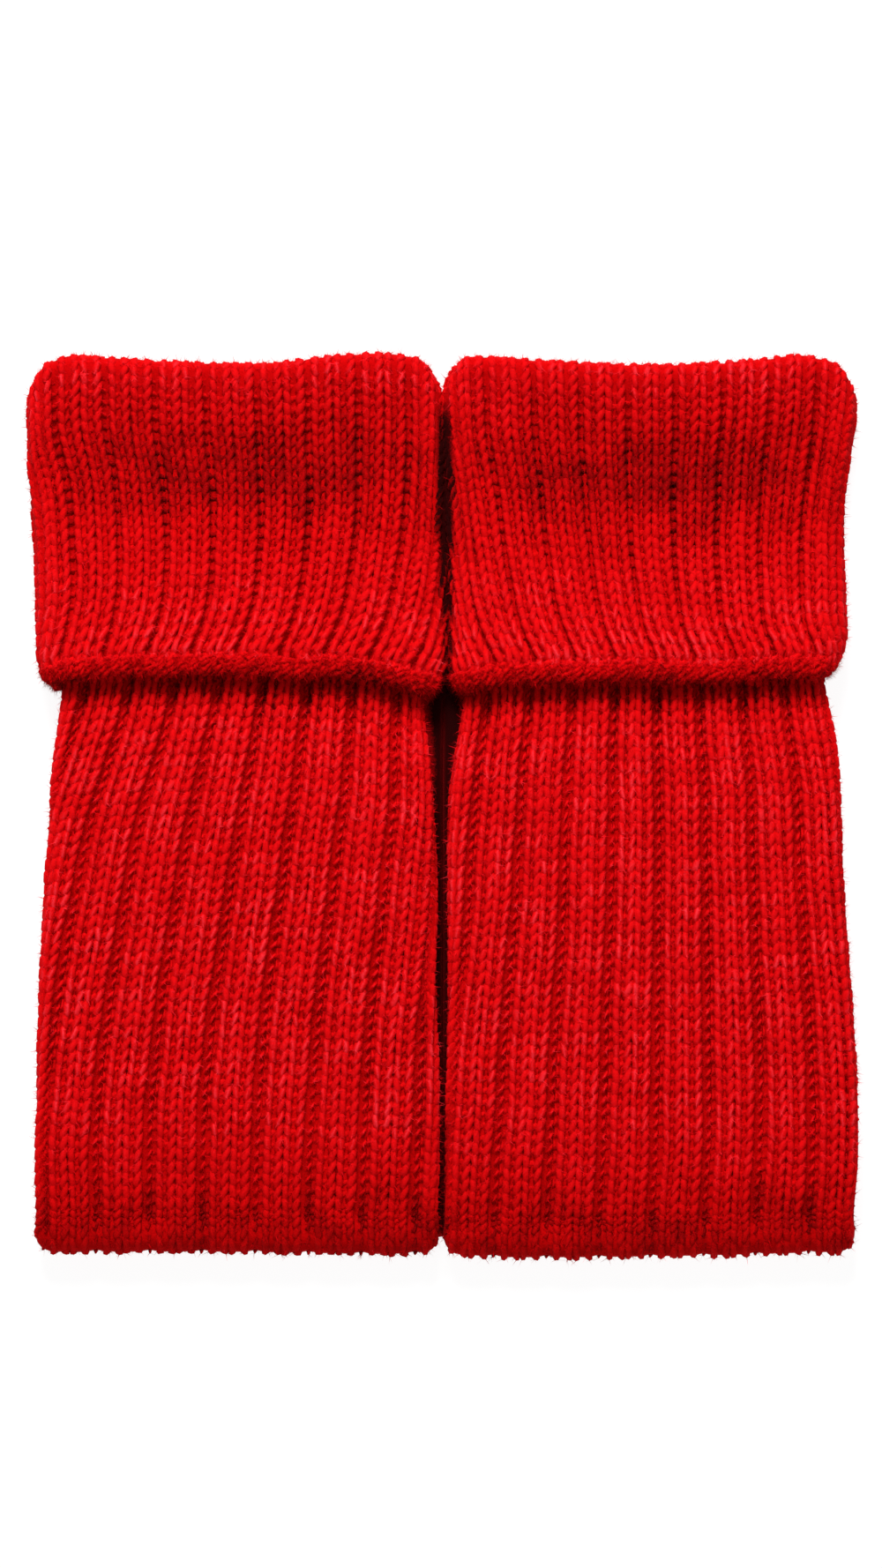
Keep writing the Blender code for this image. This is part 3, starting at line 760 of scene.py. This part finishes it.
def knit_stitch(start, end, settings, chance):
    """Points of one knit stitch: place, run in pitches, depth, how far in front, thickness."""
    width = end - start
    swing = settings.swing * width * (1 + chance.uniform(-UNEVEN_SWING, UNEVEN_SWING))
    spread = settings.spread * width
    reach = settings.reach * (1 + chance.uniform(-UNEVEN_REACH, UNEVEN_REACH))
    lift = settings.yarn_radius * chance.uniform(-UNEVEN_LIFT, UNEVEN_LIFT)
    lean = settings.lean * width * chance.uniform(*UNEVEN_LEAN)
    points = []
    for angle in KNIT_ANGLES:
        turn = math.radians(angle)
        place = start + width * turn / (2 * math.pi) + swing * math.sin(2 * turn)
        place -= spread * math.sin(turn)
        along = -reach * math.cos(turn)
        front = math.sin(turn) ** 2
        depth = settings.loop_depth * (2 * front - 1) + lift * front
        points.append((place + lean * along, along, depth, front, 1.0))
    return points


def purl_stitch(start, end, settings, chance):
    """Points of the thin strand that crosses the leg's furrow, slanting in front of it."""
    slant = PURL_SLANT * (end - start) * (1 + chance.uniform(-UNEVEN_SLANT, UNEVEN_SLANT))
    reach = PURL_REACH * (1 + chance.uniform(-UNEVEN_STRAND, UNEVEN_STRAND))
    middle = (start + end) / 2 + chance.uniform(-UNEVEN_PLACE, UNEVEN_PLACE)
    points = []
    for part, front in PURL_POINTS:
        depth = PURL_DEPTH * front * front - PURL_SINK
        points.append((middle + slant * part, reach * part, depth, front, PURL_THICKNESS))
    return points


def course(cloth, run, pitch, settings, seed):
    """One row of yarn across the cloth: points, thickness, way out, painted highlight and shade.
    """
    chance = random.Random(seed)
    lowest, highest = cloth.places(run)
    middle = settings.yarn_radius + settings.loop_depth
    furrow = cloth.furrow
    columns = [(knit_stitch, furrow, 0.5), (knit_stitch, 0.5, 1 - furrow)]
    if cloth.direction < 0:
        columns.append((purl_stitch, 1 - furrow, 1 + furrow))
    points = []
    for repeat in range(math.floor(lowest) - 1, math.ceil(highest) + 1):
        for stitch, start, end in columns:
            if not lowest < repeat + (start + end) / 2 < highest:
                continue
            part = 2 * (repeat + start - lowest) / (highest - lowest) - 1
            shade, highlight_loss = cloth.tone(run, part)
            shine = chance.uniform(*STITCH_SHINE) * (1 - highlight_loss)
            for place, along, depth, front, thick in stitch(start, end, settings, chance):
                place += repeat
                here = run + along * pitch * cloth.direction
                relief = (1 - rib_height(place)) * settings.rib_relief
                offset = depth - middle + drift(SURFACE_DRIFT, place, here)
                place += drift(COLUMN_DRIFT, place, here)
                here += drift(ROW_DRIFT, place, here)
                thick *= 1 + drift(YARN_DRIFT, place, here)
                point = Vector(cloth.point(place, here, offset, relief))
                out = point - Vector(cloth.point(place, here, offset - MM, relief))
                sunk = 1 - rib_height(place)
                # Painted highlight of the stitch, and painted shade from the cloth's tone, furrows
                # and the gap
                painted_lighting = front * (1 - FURROW_HIGHLIGHT_LOSS * sunk) * shine
                dark = shade + SAG_FURROWS * highlight_loss * sunk + gap_shade(point)
                points.append((point, thick, out / MM, painted_lighting, dark))
    return points


def course_runs(cloth, start, end, pitch):
    """Runs along the cloth of its rows of yarn, with the pitch of each."""
    rows = []
    run = start
    while run < end:
        step = pitch * cloth.looseness(run)
        rows.append((run, step))
        run += step
    return rows


def knit_rows(cloth, start, pitch, settings, seeds):
    """All rows of yarn of a cuff or a leg, each with a random seed of its own."""
    return [
        course(cloth, run, step, settings, number * seeds + SIDES.index(cloth.side))
        for number, (run, step) in enumerate(course_runs(cloth, start, cloth.end, pitch))
    ]


def linked(name, data):
    """A named object in the scene, from its mesh, curve, light or camera."""
    item = bpy.data.objects.new(name, data)
    bpy.context.scene.collection.objects.link(item)
    return item


def yarn_piece(name, courses, radius, material):
    """Rows of yarn as one mesh: curves with a round bevel, and painted light at each point."""
    curve = bpy.data.curves.new(name + "_rows", "CURVE")
    curve.dimensions = "3D"
    curve.bevel_depth = radius
    curve.bevel_resolution = YARN_BEVEL
    for points in courses:
        spline = curve.splines.new("POLY")
        spline.points.add(len(points) - 1)
        spline.points.foreach_set("co", [c for p in points for c in (*p[0], 1.0)])
        spline.points.foreach_set("radius", [p[1] for p in points])
    rows = linked(name + "_rows", curve)
    graph = bpy.context.evaluated_depsgraph_get()
    mesh = bpy.data.meshes.new_from_object(rows.evaluated_get(graph))
    bpy.data.objects.remove(rows, do_unlink=True)
    for vertex in mesh.vertices:
        vertex.co.z = max(vertex.co.z, 0.0)
    mesh.shade_smooth()
    mesh.materials.clear()
    mesh.materials.append(material)
    rings = [point for points in courses for point in points]
    sides = len(mesh.vertices) // len(rings)
    painted_lighting = mesh.attributes.new("painted_lighting", "FLOAT", "POINT")
    # Painted highlight where the yarn faces out of the cloth, less the painted shade
    for index, normal in enumerate(mesh.vertex_normals):
        out, front, shade = rings[index // sides][2:]
        painted_lighting.data[index].value = front * max(normal.vector.dot(out), 0.0) ** 3 - shade
    return linked(name, mesh)


def cloth_shell(name, cloth, runs, steps, relief, material):
    """A thin shell under the yarn, ribbed as the yarn is, between two runs along the cloth."""
    start, end = runs
    across_steps, along_steps = steps
    bm = bmesh.new()
    bmesh.ops.create_grid(bm, x_segments=across_steps, y_segments=along_steps, size=0.5)
    heights = []
    for vertex in bm.verts:
        run = start + (vertex.co.y + 0.5) * (end - start)
        lowest, highest = cloth.places(run)
        place = lowest + (vertex.co.x + 0.5) * (highest - lowest)
        heights.append(rib_height(place))
        deeper = SHELL_DEPTH - SHELL_SIDE_DEPTH + (1 - heights[-1]) * relief
        vertex.co = cloth.point(place, run, -SHELL_SIDE_DEPTH, deeper)
    top = max(bm.faces, key=lambda face: face.calc_center_median().z)
    top.normal_update()
    if top.normal.z < 0:
        bmesh.ops.reverse_faces(bm, faces=bm.faces)
    shell = finish_piece(bm, name, material)
    furrow_tones(shell, heights)
    shell.modifiers.new("wall", "SOLIDIFY").thickness = SHELL_WALL
    return shell


def finish_piece(bm, name, material):
    """Press the piece flat on the floor, paint in the gap's shade and link it as a named object.
    """
    for vertex in bm.verts:
        vertex.co.z = max(vertex.co.z, 0.0)
    mesh = bpy.data.meshes.new(name)
    bm.to_mesh(mesh)
    bm.free()
    mesh.shade_smooth()
    mesh.materials.append(material)
    painted_lighting = mesh.attributes.new("painted_lighting", "FLOAT", "POINT")
    painted_lighting.data.foreach_set("value", [-gap_shade(vertex.co) for vertex in mesh.vertices])
    return linked(name, mesh)


def furrow_tones(shell, heights):
    """Paint shade into a shell's furrows, from the rib's height at each of its points."""
    painted_lighting = shell.data.attributes["painted_lighting"].data
    for item, height in zip(painted_lighting, heights):
        item.value -= FURROW_SHADE * (1 - height)


def tube_shell(name, section, stations, steps, material, filled=False, wall=None):
    """A tube of cloth from sections at stations along it, which may have filled ends."""
    around_steps, along_steps = steps
    bm = bmesh.new()
    bmesh.ops.create_grid(bm, x_segments=around_steps, y_segments=along_steps, size=0.5)
    first, last = stations
    for vertex in bm.verts:
        station = first + (vertex.co.y + 0.5) * (last - first)
        vertex.co = section(station, vertex.co.x + 0.5)
    bmesh.ops.remove_doubles(bm, verts=bm.verts, dist=MERGE)
    if filled:
        bmesh.ops.holes_fill(bm, edges=bm.edges)
    bmesh.ops.recalc_face_normals(bm, faces=bm.faces)
    shell = finish_piece(bm, name, material)
    if wall:
        shell.modifiers.new("wall", "SOLIDIFY").thickness = wall
    return shell


def cuff_ring(cloth, run, share, relief):
    """Point on the cuff's cloth at a share of the way round, from the middle of its back."""
    lowest, highest = cloth.places(run, whole=True)
    place = lowest + share * (highest - lowest)
    relief *= within((0.5 - abs(share - 0.5)) / BACK_FADE)
    deeper = SHELL_DEPTH - SHELL_SIDE_DEPTH + (1 - rib_height(place)) * relief
    return cloth.point(place, run, -SHELL_SIDE_DEPTH, deeper)


def under_edges(side, height, inset):
    """Left and right edges of the layers folded under the leg, and their thickness."""
    top = read(LEG_RISE, height, "rise") - 2 * SIDE_RADIUS - UNDER_GAP
    if side == "left":
        return read(LEG_EDGES[side], height, "left") + inset, -LAYERS_MEET, top
    return LAYERS_MEET, read(LEG_EDGES[side], height, "right") - inset, top


def under_layers(side, height, share):
    """Point on the layers folded under the leg, a share of the way round them."""
    left, right, top = under_edges(side, height, UNDER_INSET + YARN_INSET)
    arc = arc_round(left, right, top / 2, share)
    across, drop = flat_tube(arc, left, right, top / 2)[:2]
    return across, height, top - drop


def inner_layers(side, height, share):
    """Point on the layers inside the leg and the cuff, a share of the way round them."""
    left = read(LEG_EDGES[side], height, "left") + INNER_INSET
    right = read(LEG_EDGES[side], height, "right") - INNER_INSET
    rise = read(LEG_RISE, height, "rise")
    top = rise - INNER_DROP
    bottom = rise - 2 * SIDE_RADIUS - UNDER_GAP + GAP
    radius = (top - bottom) / 2
    arc = arc_round(left, right, radius, share)
    across, drop = flat_tube(arc, left, right, radius)[:2]
    return across, height, top - drop


def squarer(value, power):
    """A value's size raised to a power under 1, with its sign kept."""
    return math.copysign(abs(value) ** power, value)


def hem_point(side, around, turn, swell):
    """Point on the rolled hem: a share of the way round the cuff, and a turn of the roll."""
    middle = read(CUFF_RIBS[side], CUFF_MIDDLE, "furrow")
    height = read(HEM_EDGE[side], middle, "height")
    radius = read(CUFF_RISE, height, "rise") / 2
    left, right = cuff_edges(side, height)
    arc = arc_round(left, right, radius, around)
    across, drop, out_x, out_z = flat_tube(arc, left, right, radius)
    centre = read(HEM_EDGE[side], across, "height") + HEM_HEIGHT / 2 - HEM_LOWER
    centre += drift(HEM_WAVER, arc / HEM_WAVER_LENGTH, 0.0)
    depth = HEM_THICKNESS / 2 - HEM_PROUD * (1 + out_z) / 2
    bulge = squarer(math.cos(turn), HEM_POWERS[0])
    rise = squarer(math.sin(turn), HEM_POWERS[1])
    out = (HEM_THICKNESS / 2 + swell) * bulge - depth + HEM_RISE * max(out_z, 0.0)
    along = (HEM_HEIGHT / 2 + swell) * rise
    across += out_x * out + side_shift(side, across, centre + along, out_x, out_z)
    return across, centre + along, 2 * radius - drop + out_z * out


def hem_section(side, turn, around):
    """Point on the hem's soft uneven roll, with the ribs just showing in it."""
    rib = math.cos(2 * math.pi * HEM_REPEATS * around)
    across_step, along_step = HEM_SOFTNESS_STEPS
    soft = drift(HEM_SOFTNESS, around * across_step, turn * along_step)
    return hem_point(side, around, turn, HEM_RIB * rib + soft - HEM_SINK)


def cast_on_rows(side):
    """Rows of small loops lying along the rolled hem, as points for yarn_piece."""
    lowest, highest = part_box(side + "_cuff_hem")
    loops = round(2 * (highest.x - lowest.x) / CAST_ON_LOOP)
    first, last = (int(loops * share) * CAST_ON_STEPS for share in CAST_ON_SPAN)
    base, extra = CAST_ON_HIGHLIGHT
    across_step, along_step = CAST_ON_DRIFT_STEPS
    rows = []
    for number, degrees in enumerate(CAST_ON_TURNS):
        chance = random.Random(CAST_ON_SEED + number)
        points = []
        for step in range(first, last):
            phase = 2 * math.pi * (step / CAST_ON_STEPS + CAST_ON_STAGGER * number * number)
            phase += drift(CAST_ON_SHIFT, step * CAST_ON_SHIFT_STEP, 0.0, number)
            around = (step + CAST_ON_BUNCHING * math.sin(2 * phase)) / (loops * CAST_ON_STEPS)
            swing = CAST_ON_SWING * math.sin(phase)
            swing += chance.uniform(-CAST_ON_UNEVEN, CAST_ON_UNEVEN)
            turn = math.radians(degrees + swing)
            front = math.cos(phase + CAST_ON_LAG)
            swell = CAST_ON_LIFT * front - CAST_ON_RADIUS
            swell += drift(CAST_ON_DRIFT, around * across_step, turn * along_step)
            point = Vector(hem_point(side, around, turn, swell))
            out = Vector(hem_point(side, around, turn, swell + MM)) - point
            # Painted shade under the roll and in the gap, painted highlight where a loop is in
            # front
            shade = HEM_SHADE * (1 - math.sin(turn)) / 2 + gap_shade(point)
            thick = 1.0 + chance.uniform(*CAST_ON_THICKNESS)
            points.append((point, thick, out / MM, base + extra * front, shade))
        rows.append(points)
    return rows


def fibre_piece(name, pieces, settings, seed, material):
    """Loose fibres standing off the yarn, each a thin blade with its root in the yarn."""
    chance = random.Random(seed)
    bm = bmesh.new()
    roots = []
    tones = []
    for piece in pieces:
        painted_lighting = piece.data.attributes["painted_lighting"].data
        for vertex in piece.data.vertices:
            if vertex.normal.z > FIBRE_FACING:
                roots.append((vertex.co.copy(), vertex.normal.copy(), painted_lighting[vertex.index].value))
    for root, normal, tone in chance.choices(roots, k=settings.fibres):
        aside = Vector((chance.uniform(-1, 1), chance.uniform(-1, 1), chance.uniform(-1, 1)))
        along = (normal * chance.uniform(0.0, FIBRE_RISE) + aside).normalized()
        width = along.cross(normal + aside.yzx * FIBRE_TWIST).normalized()
        width *= settings.fibre_width / 2
        tip = along * settings.fibre_length * chance.uniform(FIBRE_SHORTEST, 1.0)
        start = root - normal * FIBRE_SINK
        corners = (start - width, start + width, start + tip)
        bm.faces.new([bm.verts.new(corner) for corner in corners])
        # Each fibre takes the painted highlight and shade of the yarn at its root
        tones += [tone] * 3
    piece = finish_piece(bm, name, material)
    piece.data.attributes["painted_lighting"].data.foreach_set("value", tones)
    return piece


def linear(code):
    """An sRGB colour code such as #AA0011 as linear values for a shader."""
    values = [int(code[n : n + 2], 16) / 255 for n in (1, 3, 5)]
    return [v / 12.92 if v <= 0.04045 else ((v + 0.055) / 1.055) ** 2.4 for v in values]


def add_node(tree, kind, settings, links):
    """Add a node to a material, with its options and values set and its inputs linked."""
    node = tree.nodes.new(kind)
    for name, value in settings.items():
        if isinstance(name, int) or name in node.inputs:
            node.inputs[name].default_value = value
        else:
            setattr(node, name, value)
    for name, (source, output) in links.items():
        tree.links.new(source.outputs[output], node.inputs[name])
    return node


def noise_node(tree, size, detail, roughness):
    """A noise texture in the piece's own space, with a grain of a size in metres."""
    place = add_node(tree, "ShaderNodeTexCoord", {}, {})
    values = {"Scale": 1 / size, "Detail": detail, "Roughness": roughness}
    return add_node(tree, "ShaderNodeTexNoise", values, {"Vector": (place, "Object")})


def new_material(name, values):
    """A material with its Principled shader's inputs set, and its node tree."""
    material = bpy.data.materials.new(name)
    material.use_nodes = True
    shader = material.node_tree.nodes["Principled BSDF"]
    for socket, value in values.items():
        shader.inputs[socket].default_value = value
    return material, material.node_tree, shader


def bump_from(tree, shader, texture, strength, distance):
    """Let a texture raise the surface by up to a distance."""
    values = {"Strength": strength, "Distance": distance}
    bump = add_node(tree, "ShaderNodeBump", values, {"Height": (texture, "Fac")})
    tree.links.new(bump.outputs["Normal"], shader.inputs["Normal"])


def brushed_yarn(name, colours, settings):
    """Brushed acrylic yarn: soft, matt and fuzzy, with painted highlights and painted shade."""
    values = {
        "Roughness": 0.9,
        "Specular IOR Level": 0.05,
        "Sheen Weight": settings.sheen,
        "Sheen Roughness": 0.5,
        "Sheen Tint": (*settings.sheen_tint, 1.0),
    }
    material, tree, shader = new_material(name, values)
    # The tufts are coarser than real fibres of 0.02 mm, so that they show
    tufts = noise_node(tree, TUFT_SIZE, detail=4.0, roughness=0.7)
    patches = noise_node(tree, PATCH_SIZE, detail=2.0, roughness=0.5)
    painted_lighting = add_node(tree, "ShaderNodeAttribute", {"attribute_name": "painted_lighting"}, {})
    paler = None
    weights = {tufts: TUFT_WEIGHT, patches: PATCH_WEIGHT, painted_lighting: PAINTED_LIGHTING_WEIGHT}
    for source, weight in weights.items():
        links = {0: (source, "Fac")}
        if paler:
            links[2] = (paler, 0)
        weighing = {"operation": "MULTIPLY_ADD", 1: weight, 2: 0.0}
        paler = add_node(tree, "ShaderNodeMath", weighing, links)
    # The ramp turns random tufts and patches and the painted light into reds
    ramp = add_node(tree, "ShaderNodeValToRGB", {}, {"Fac": (paler, 0)})
    stops = ramp.color_ramp.elements
    while len(stops) < len(TONE_PLACES):
        stops.new(0.5)
    for stop, place, colour in zip(stops, TONE_PLACES, colours):
        stop.position = place
        stop.color = (*colour, 1.0)
    tree.links.new(ramp.outputs["Color"], shader.inputs["Base Color"])
    bump_from(tree, shader, tufts, strength=settings.fibre_bump, distance=0.4 * MM)
    return material


def matt_board(name, colour):
    """Matt white board lit from behind: pale and even, with faint shadows and grain."""
    values = {
        "Base Color": (*colour, 1.0),
        "Emission Color": (1.0, 1.0, 1.0, 1.0),
        "Emission Strength": 0.925,
        "Roughness": 0.9,
    }
    material, tree, shader = new_material(name, values)
    grain = noise_node(tree, 2 * MM, detail=2.0, roughness=0.5)
    bump_from(tree, shader, grain, strength=0.05, distance=0.1 * MM)
    return material


def as_length(name, description, default):
    """A setting in metres."""
    return FloatProperty(
        name=name, description=description, default=default, unit="LENGTH", precision=5
    )


def as_share(name, description, default):
    """A setting that is a share or a strength, without a unit."""
    return FloatProperty(name=name, description=description, default=default)


def as_colour(name, description, code):
    """A setting that is a colour, from its sRGB code."""
    return FloatVectorProperty(
        name=name, description=description, default=linear(code), subtype="COLOR"
    )


class KnitSettings(bpy.types.PropertyGroup):
    """Sizes of the yarn and its stitches."""

    yarn_radius: as_length("Yarn radius", "Radius of the yarn", 1.1 * MM)
    cuff_pitch: as_length("Cuff row pitch", "Height of a knitted row in the cuff", 3.37 * MM)
    leg_pitch: as_length("Leg row pitch", "Height of a knitted row in the leg", 3.6 * MM)
    swing: as_share("Swing", "Sideways swing of a loop, as a share of its column", 0.17)
    spread: as_share("Spread", "How far a loop's legs stand apart, as a share of its column", 0.05)
    reach: as_share("Reach", "Half height of a loop, in row pitches", 0.95)
    lean: as_share("Lean", "Slant of each stitch, as a share of its column", 0.06)
    loop_depth: as_length(
        "Loop depth", "How far a loop passes in front of and behind its neighbours", 0.85 * MM
    )
    rib_relief: as_length("Rib relief", "Depth of the furrow between two ribs", 2.1 * MM)
    fibres: IntProperty(
        name="Fibres", description="Loose fibres on each leg warmer", default=140000
    )
    fibre_length: as_length("Fibre length", "Longest loose fibre", 2.8 * MM)
    fibre_width: as_length(
        "Fibre width", "Width of a loose fibre, drawn wide enough to show", 0.15 * MM
    )


class FinishSettings(bpy.types.PropertyGroup):
    """Colours and finish of the yarn and the floor."""

    # On each ramp the gap and furrow colours are painted shade, the side colour is about the
    # yarn's own red, and the crown and tip colours are painted highlights
    brushed_gap: as_colour("Brushed gap", "Brushed yarn in a dark gap", "#200000")
    brushed_furrow: as_colour("Brushed furrow", "Brushed yarn in a furrow", "#8C0002")
    brushed_side: as_colour("Brushed side", "Brushed yarn on a rib's side", "#C80204")
    brushed_crown: as_colour("Brushed crown", "Brushed yarn on a rib's crown", "#DB070D")
    brushed_tip: as_colour("Brushed tip", "Raised fibres of the brushed yarn", "#F63642")
    # The shells' yarn is a darker copy, painted shade for the cloth under the yarn
    shaded_gap: as_colour("Shaded gap", "Yarn of the shells in a dark gap", "#200000")
    shaded_furrow: as_colour("Shaded furrow", "Yarn of the shells in a furrow", "#8A0002")
    shaded_side: as_colour("Shaded side", "Yarn of the shells on a rib's side", "#C00002")
    shaded_crown: as_colour("Shaded crown", "Yarn of the shells on a rib's crown", "#D00003")
    shaded_tip: as_colour("Shaded tip", "Raised fibres of the shells", "#DC0004")
    # Loose fibres take the painted highlight and shade of the yarn at their roots
    loose_gap: as_colour("Loose gap", "Loose fibres in a dark gap", "#200000")
    loose_furrow: as_colour("Loose furrow", "Loose fibres in a furrow", "#A00003")
    loose_side: as_colour("Loose side", "Loose fibres on a rib's side", "#D40006")
    loose_crown: as_colour("Loose crown", "Loose fibres on a rib's crown", "#E81420")
    loose_tip: as_colour("Loose tip", "Loose fibres that are raised most", "#FF3A46")
    sheen: as_share("Sheen", "Strength of the soft halo", 0.15)
    sheen_tint: as_colour("Sheen tint", "Colour of the soft halo", "#FF1820")
    fibre_bump: as_share("Fibre bump", "Strength of the fibre grain", 0.5)
    floor: as_colour("Floor", "Colour of the floor's board", "#606060")


def material_named(name, context):
    """A yarn's material, made with its colours the first time that it is asked for."""
    if name in bpy.data.materials:
        return bpy.data.materials[name]
    finish = context.scene.finish_settings
    colours = [getattr(finish, name.split("_")[0] + "_" + tone) for tone in YARN_TONES]
    return brushed_yarn(name, colours, finish)


def knitting_kit(context):
    """The yarn's sizes, its brushed finish, and a copy darkened by painted shade for the shells.
    """
    yarn = material_named("brushed_acrylic_yarn", context)
    ground = material_named("shaded_acrylic_yarn", context)
    return context.scene.knit_settings, yarn, ground


class LEGWARMER_OT_cuffs(bpy.types.Operator):
    """Knit the turned-down cuffs"""

    bl_idname = "legwarmer.cuffs"
    bl_label = "Knit the cuffs"

    def execute(self, context):
        settings, yarn, ground = knitting_kit(context)
        for side in SIDES:
            cloth = CuffCloth(side)
            courses = knit_rows(cloth, CUFF_START, settings.cuff_pitch, settings, CUFF_SEEDS)
            knit = yarn_piece(side + "_cuff_stitches", courses, settings.yarn_radius, yarn)
            shell = tube_shell(
                side + "_cuff_cloth",
                lambda run, share: cuff_ring(cloth, run, share, settings.rib_relief),
                (CUFF_START, cloth.end),
                CUFF_SHELL_STEPS,
                ground,
                wall=SHELL_WALL,
            )
            for piece in (knit, shell):
                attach(piece, "root")
            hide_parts(side + "_cuff")
        return {"FINISHED"}


class LEGWARMER_OT_legs(bpy.types.Operator):
    """Knit the legs down to the bottom fold and round it"""

    bl_idname = "legwarmer.legs"
    bl_label = "Knit the legs"

    def execute(self, context):
        settings, yarn, ground = knitting_kit(context)
        for side in SIDES:
            cloth = LegCloth(side)
            courses = knit_rows(cloth, LEG_FIRST_RUN, settings.leg_pitch, settings, LEG_SEEDS)
            half = len(courses) // 2
            radius = settings.yarn_radius
            upper = yarn_piece(side + "_leg_stitches_upper", courses[:half], radius, yarn)
            lower = yarn_piece(side + "_leg_stitches_lower", courses[half:], radius, yarn)
            shell = cloth_shell(
                side + "_leg_cloth",
                cloth,
                (0.0, cloth.end),
                LEG_SHELL_STEPS,
                settings.rib_relief,
                ground,
            )
            for piece in (upper, lower, shell):
                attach(piece, "root")
            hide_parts(side + "_leg")
        return {"FINISHED"}


class LEGWARMER_OT_hems(bpy.types.Operator):
    """Roll the cast-on edge of each cuff"""

    bl_idname = "legwarmer.hems"
    bl_label = "Roll the hems"

    def execute(self, context):
        yarn, ground = knitting_kit(context)[1:]
        for side in SIDES:
            roll = tube_shell(
                side + "_hem_roll",
                lambda turn, around: hem_section(side, turn, around),
                (0.0, 2 * math.pi),
                HEM_STEPS,
                ground,
            )
            loops = yarn_piece(side + "_hem_loops", cast_on_rows(side), CAST_ON_RADIUS, yarn)
            for piece in (roll, loops):
                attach(piece, "root")
            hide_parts(side + "_cuff_hem")
        return {"FINISHED"}


class LEGWARMER_OT_layers(bpy.types.Operator):
    """Lay the hidden layers under the legs"""

    bl_idname = "legwarmer.layers"
    bl_label = "Lay the hidden layers"

    def execute(self, context):
        settings, yarn, ground = knitting_kit(context)
        for side in SIDES:
            cloth = UnderCloth(side)
            pitch = settings.leg_pitch
            rows = math.floor((UNDER_ENDS[1] - UNDER_ENDS[0]) / pitch) - 1
            courses = [
                course(cloth, (row + 1) * pitch, pitch, settings, UNDER_SEED + row)
                for row in range(rows)
            ]
            knit = yarn_piece(side + "_under_stitches", courses, settings.yarn_radius, yarn)
            under = tube_shell(
                side + "_under_layers",
                lambda height, share: under_layers(side, height, share),
                UNDER_ENDS,
                LAYER_STEPS,
                ground,
                filled=True,
            )
            inner = tube_shell(
                side + "_inner_layers",
                lambda height, share: inner_layers(side, height, share),
                INNER_ENDS,
                LAYER_STEPS,
                ground,
                filled=True,
            )
            for piece in (under, inner, knit):
                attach(piece, "root")
            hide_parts(side + "_folded_layers")
        return {"FINISHED"}


class LEGWARMER_OT_fibres(bpy.types.Operator):
    """Brush loose fibres up from the yarn"""

    bl_idname = "legwarmer.fibres"
    bl_label = "Brush the yarn"

    def execute(self, context):
        settings = context.scene.knit_settings
        fibre = material_named("loose_acrylic_fibres", context)
        for side in SIDES:
            names = ("_cuff_stitches", "_leg_stitches_upper", "_leg_stitches_lower", "_hem_loops")
            pieces = [bpy.data.objects[side + name] for name in names]
            seed = FIBRE_SEED + SIDES.index(side)
            fibres = fibre_piece(side + "_fibres", pieces, settings, seed, fibre)
            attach(fibres, "root")
        return {"FINISHED"}


def area_light(name, place, size, power):
    """A square soft light at a place, turned towards the origin."""
    light = bpy.data.lights.new(name, "AREA")
    light.size = size
    light.energy = power
    item = linked(name, light)
    item.location = place
    item.rotation_euler = (-Vector(place)).to_track_quat("-Z", "Y").to_euler()
    item.visible_camera = False


class LEGWARMER_OT_stage(bpy.types.Operator):
    """Set the floor, the lights and the camera"""

    bl_idname = "legwarmer.stage"
    bl_label = "Set the stage"

    def execute(self, context):
        bm = bmesh.new()
        bmesh.ops.create_grid(bm, x_segments=1, y_segments=1, size=FLOOR_SIZE)
        board = matt_board("matt_white_board", context.scene.finish_settings.floor)
        floor = finish_piece(bm, "floor", board)
        floor.data.transform(Matrix.Translation((0.0, 0.0, -FLOOR_DROP)))

        area_light("key_light", *KEY_LIGHT)
        area_light("fill_light", *FILL_LIGHT)
        world = bpy.data.worlds.new("studio")
        world.use_nodes = True
        background = world.node_tree.nodes["Background"]
        background.inputs["Color"].default_value = (1, 1, 1, 1)
        background.inputs["Strength"].default_value = WORLD_LIGHT
        context.scene.world = world
        context.scene.view_settings.view_transform = "Standard"

        lens = bpy.data.cameras.new("camera")
        lens.sensor_fit = "VERTICAL"
        lens.sensor_height = SENSOR_HEIGHT
        lens.lens = SENSOR_HEIGHT * CAMERA_DISTANCE / FRAME_HEIGHT
        camera = linked("camera", lens)
        camera.location = (*FRAME_CENTRE, CAMERA_DISTANCE + CAMERA_FOCUS_HEIGHT)
        context.scene.camera = camera
        return {"FINISHED"}


class LEGWARMER_PT_panel(bpy.types.Panel):
    """Buttons for each group of pieces"""

    bl_idname = "LEGWARMER_PT_panel"
    bl_label = "Leg warmers"
    bl_space_type = "VIEW_3D"
    bl_region_type = "UI"
    bl_category = "Leg warmers"

    def draw(self, context):
        for operator in OPERATORS:
            self.layout.operator(operator.bl_idname)


OPERATORS = (
    LEGWARMER_OT_cuffs,
    LEGWARMER_OT_legs,
    LEGWARMER_OT_hems,
    LEGWARMER_OT_layers,
    LEGWARMER_OT_fibres,
    LEGWARMER_OT_stage,
)
GROUPS = (KnitSettings, FinishSettings)


def register():
    """Add the settings, the operators and the panel to Blender."""
    for group in (*GROUPS, *OPERATORS, LEGWARMER_PT_panel):
        bpy.utils.register_class(group)
    bpy.types.Scene.knit_settings = PointerProperty(type=KnitSettings)
    bpy.types.Scene.finish_settings = PointerProperty(type=FinishSettings)


def unregister():
    """Take the settings, the operators and the panel out of Blender."""
    del bpy.types.Scene.finish_settings
    del bpy.types.Scene.knit_settings
    for group in reversed((*GROUPS, *OPERATORS, LEGWARMER_PT_panel)):
        bpy.utils.unregister_class(group)


def main():
    register()
    bpy.ops.legwarmer.cuffs()
    bpy.ops.legwarmer.legs()
    bpy.ops.legwarmer.hems()
    bpy.ops.legwarmer.layers()
    bpy.ops.legwarmer.fibres()
    bpy.ops.legwarmer.stage()


if __name__ == "__main__":
    main()
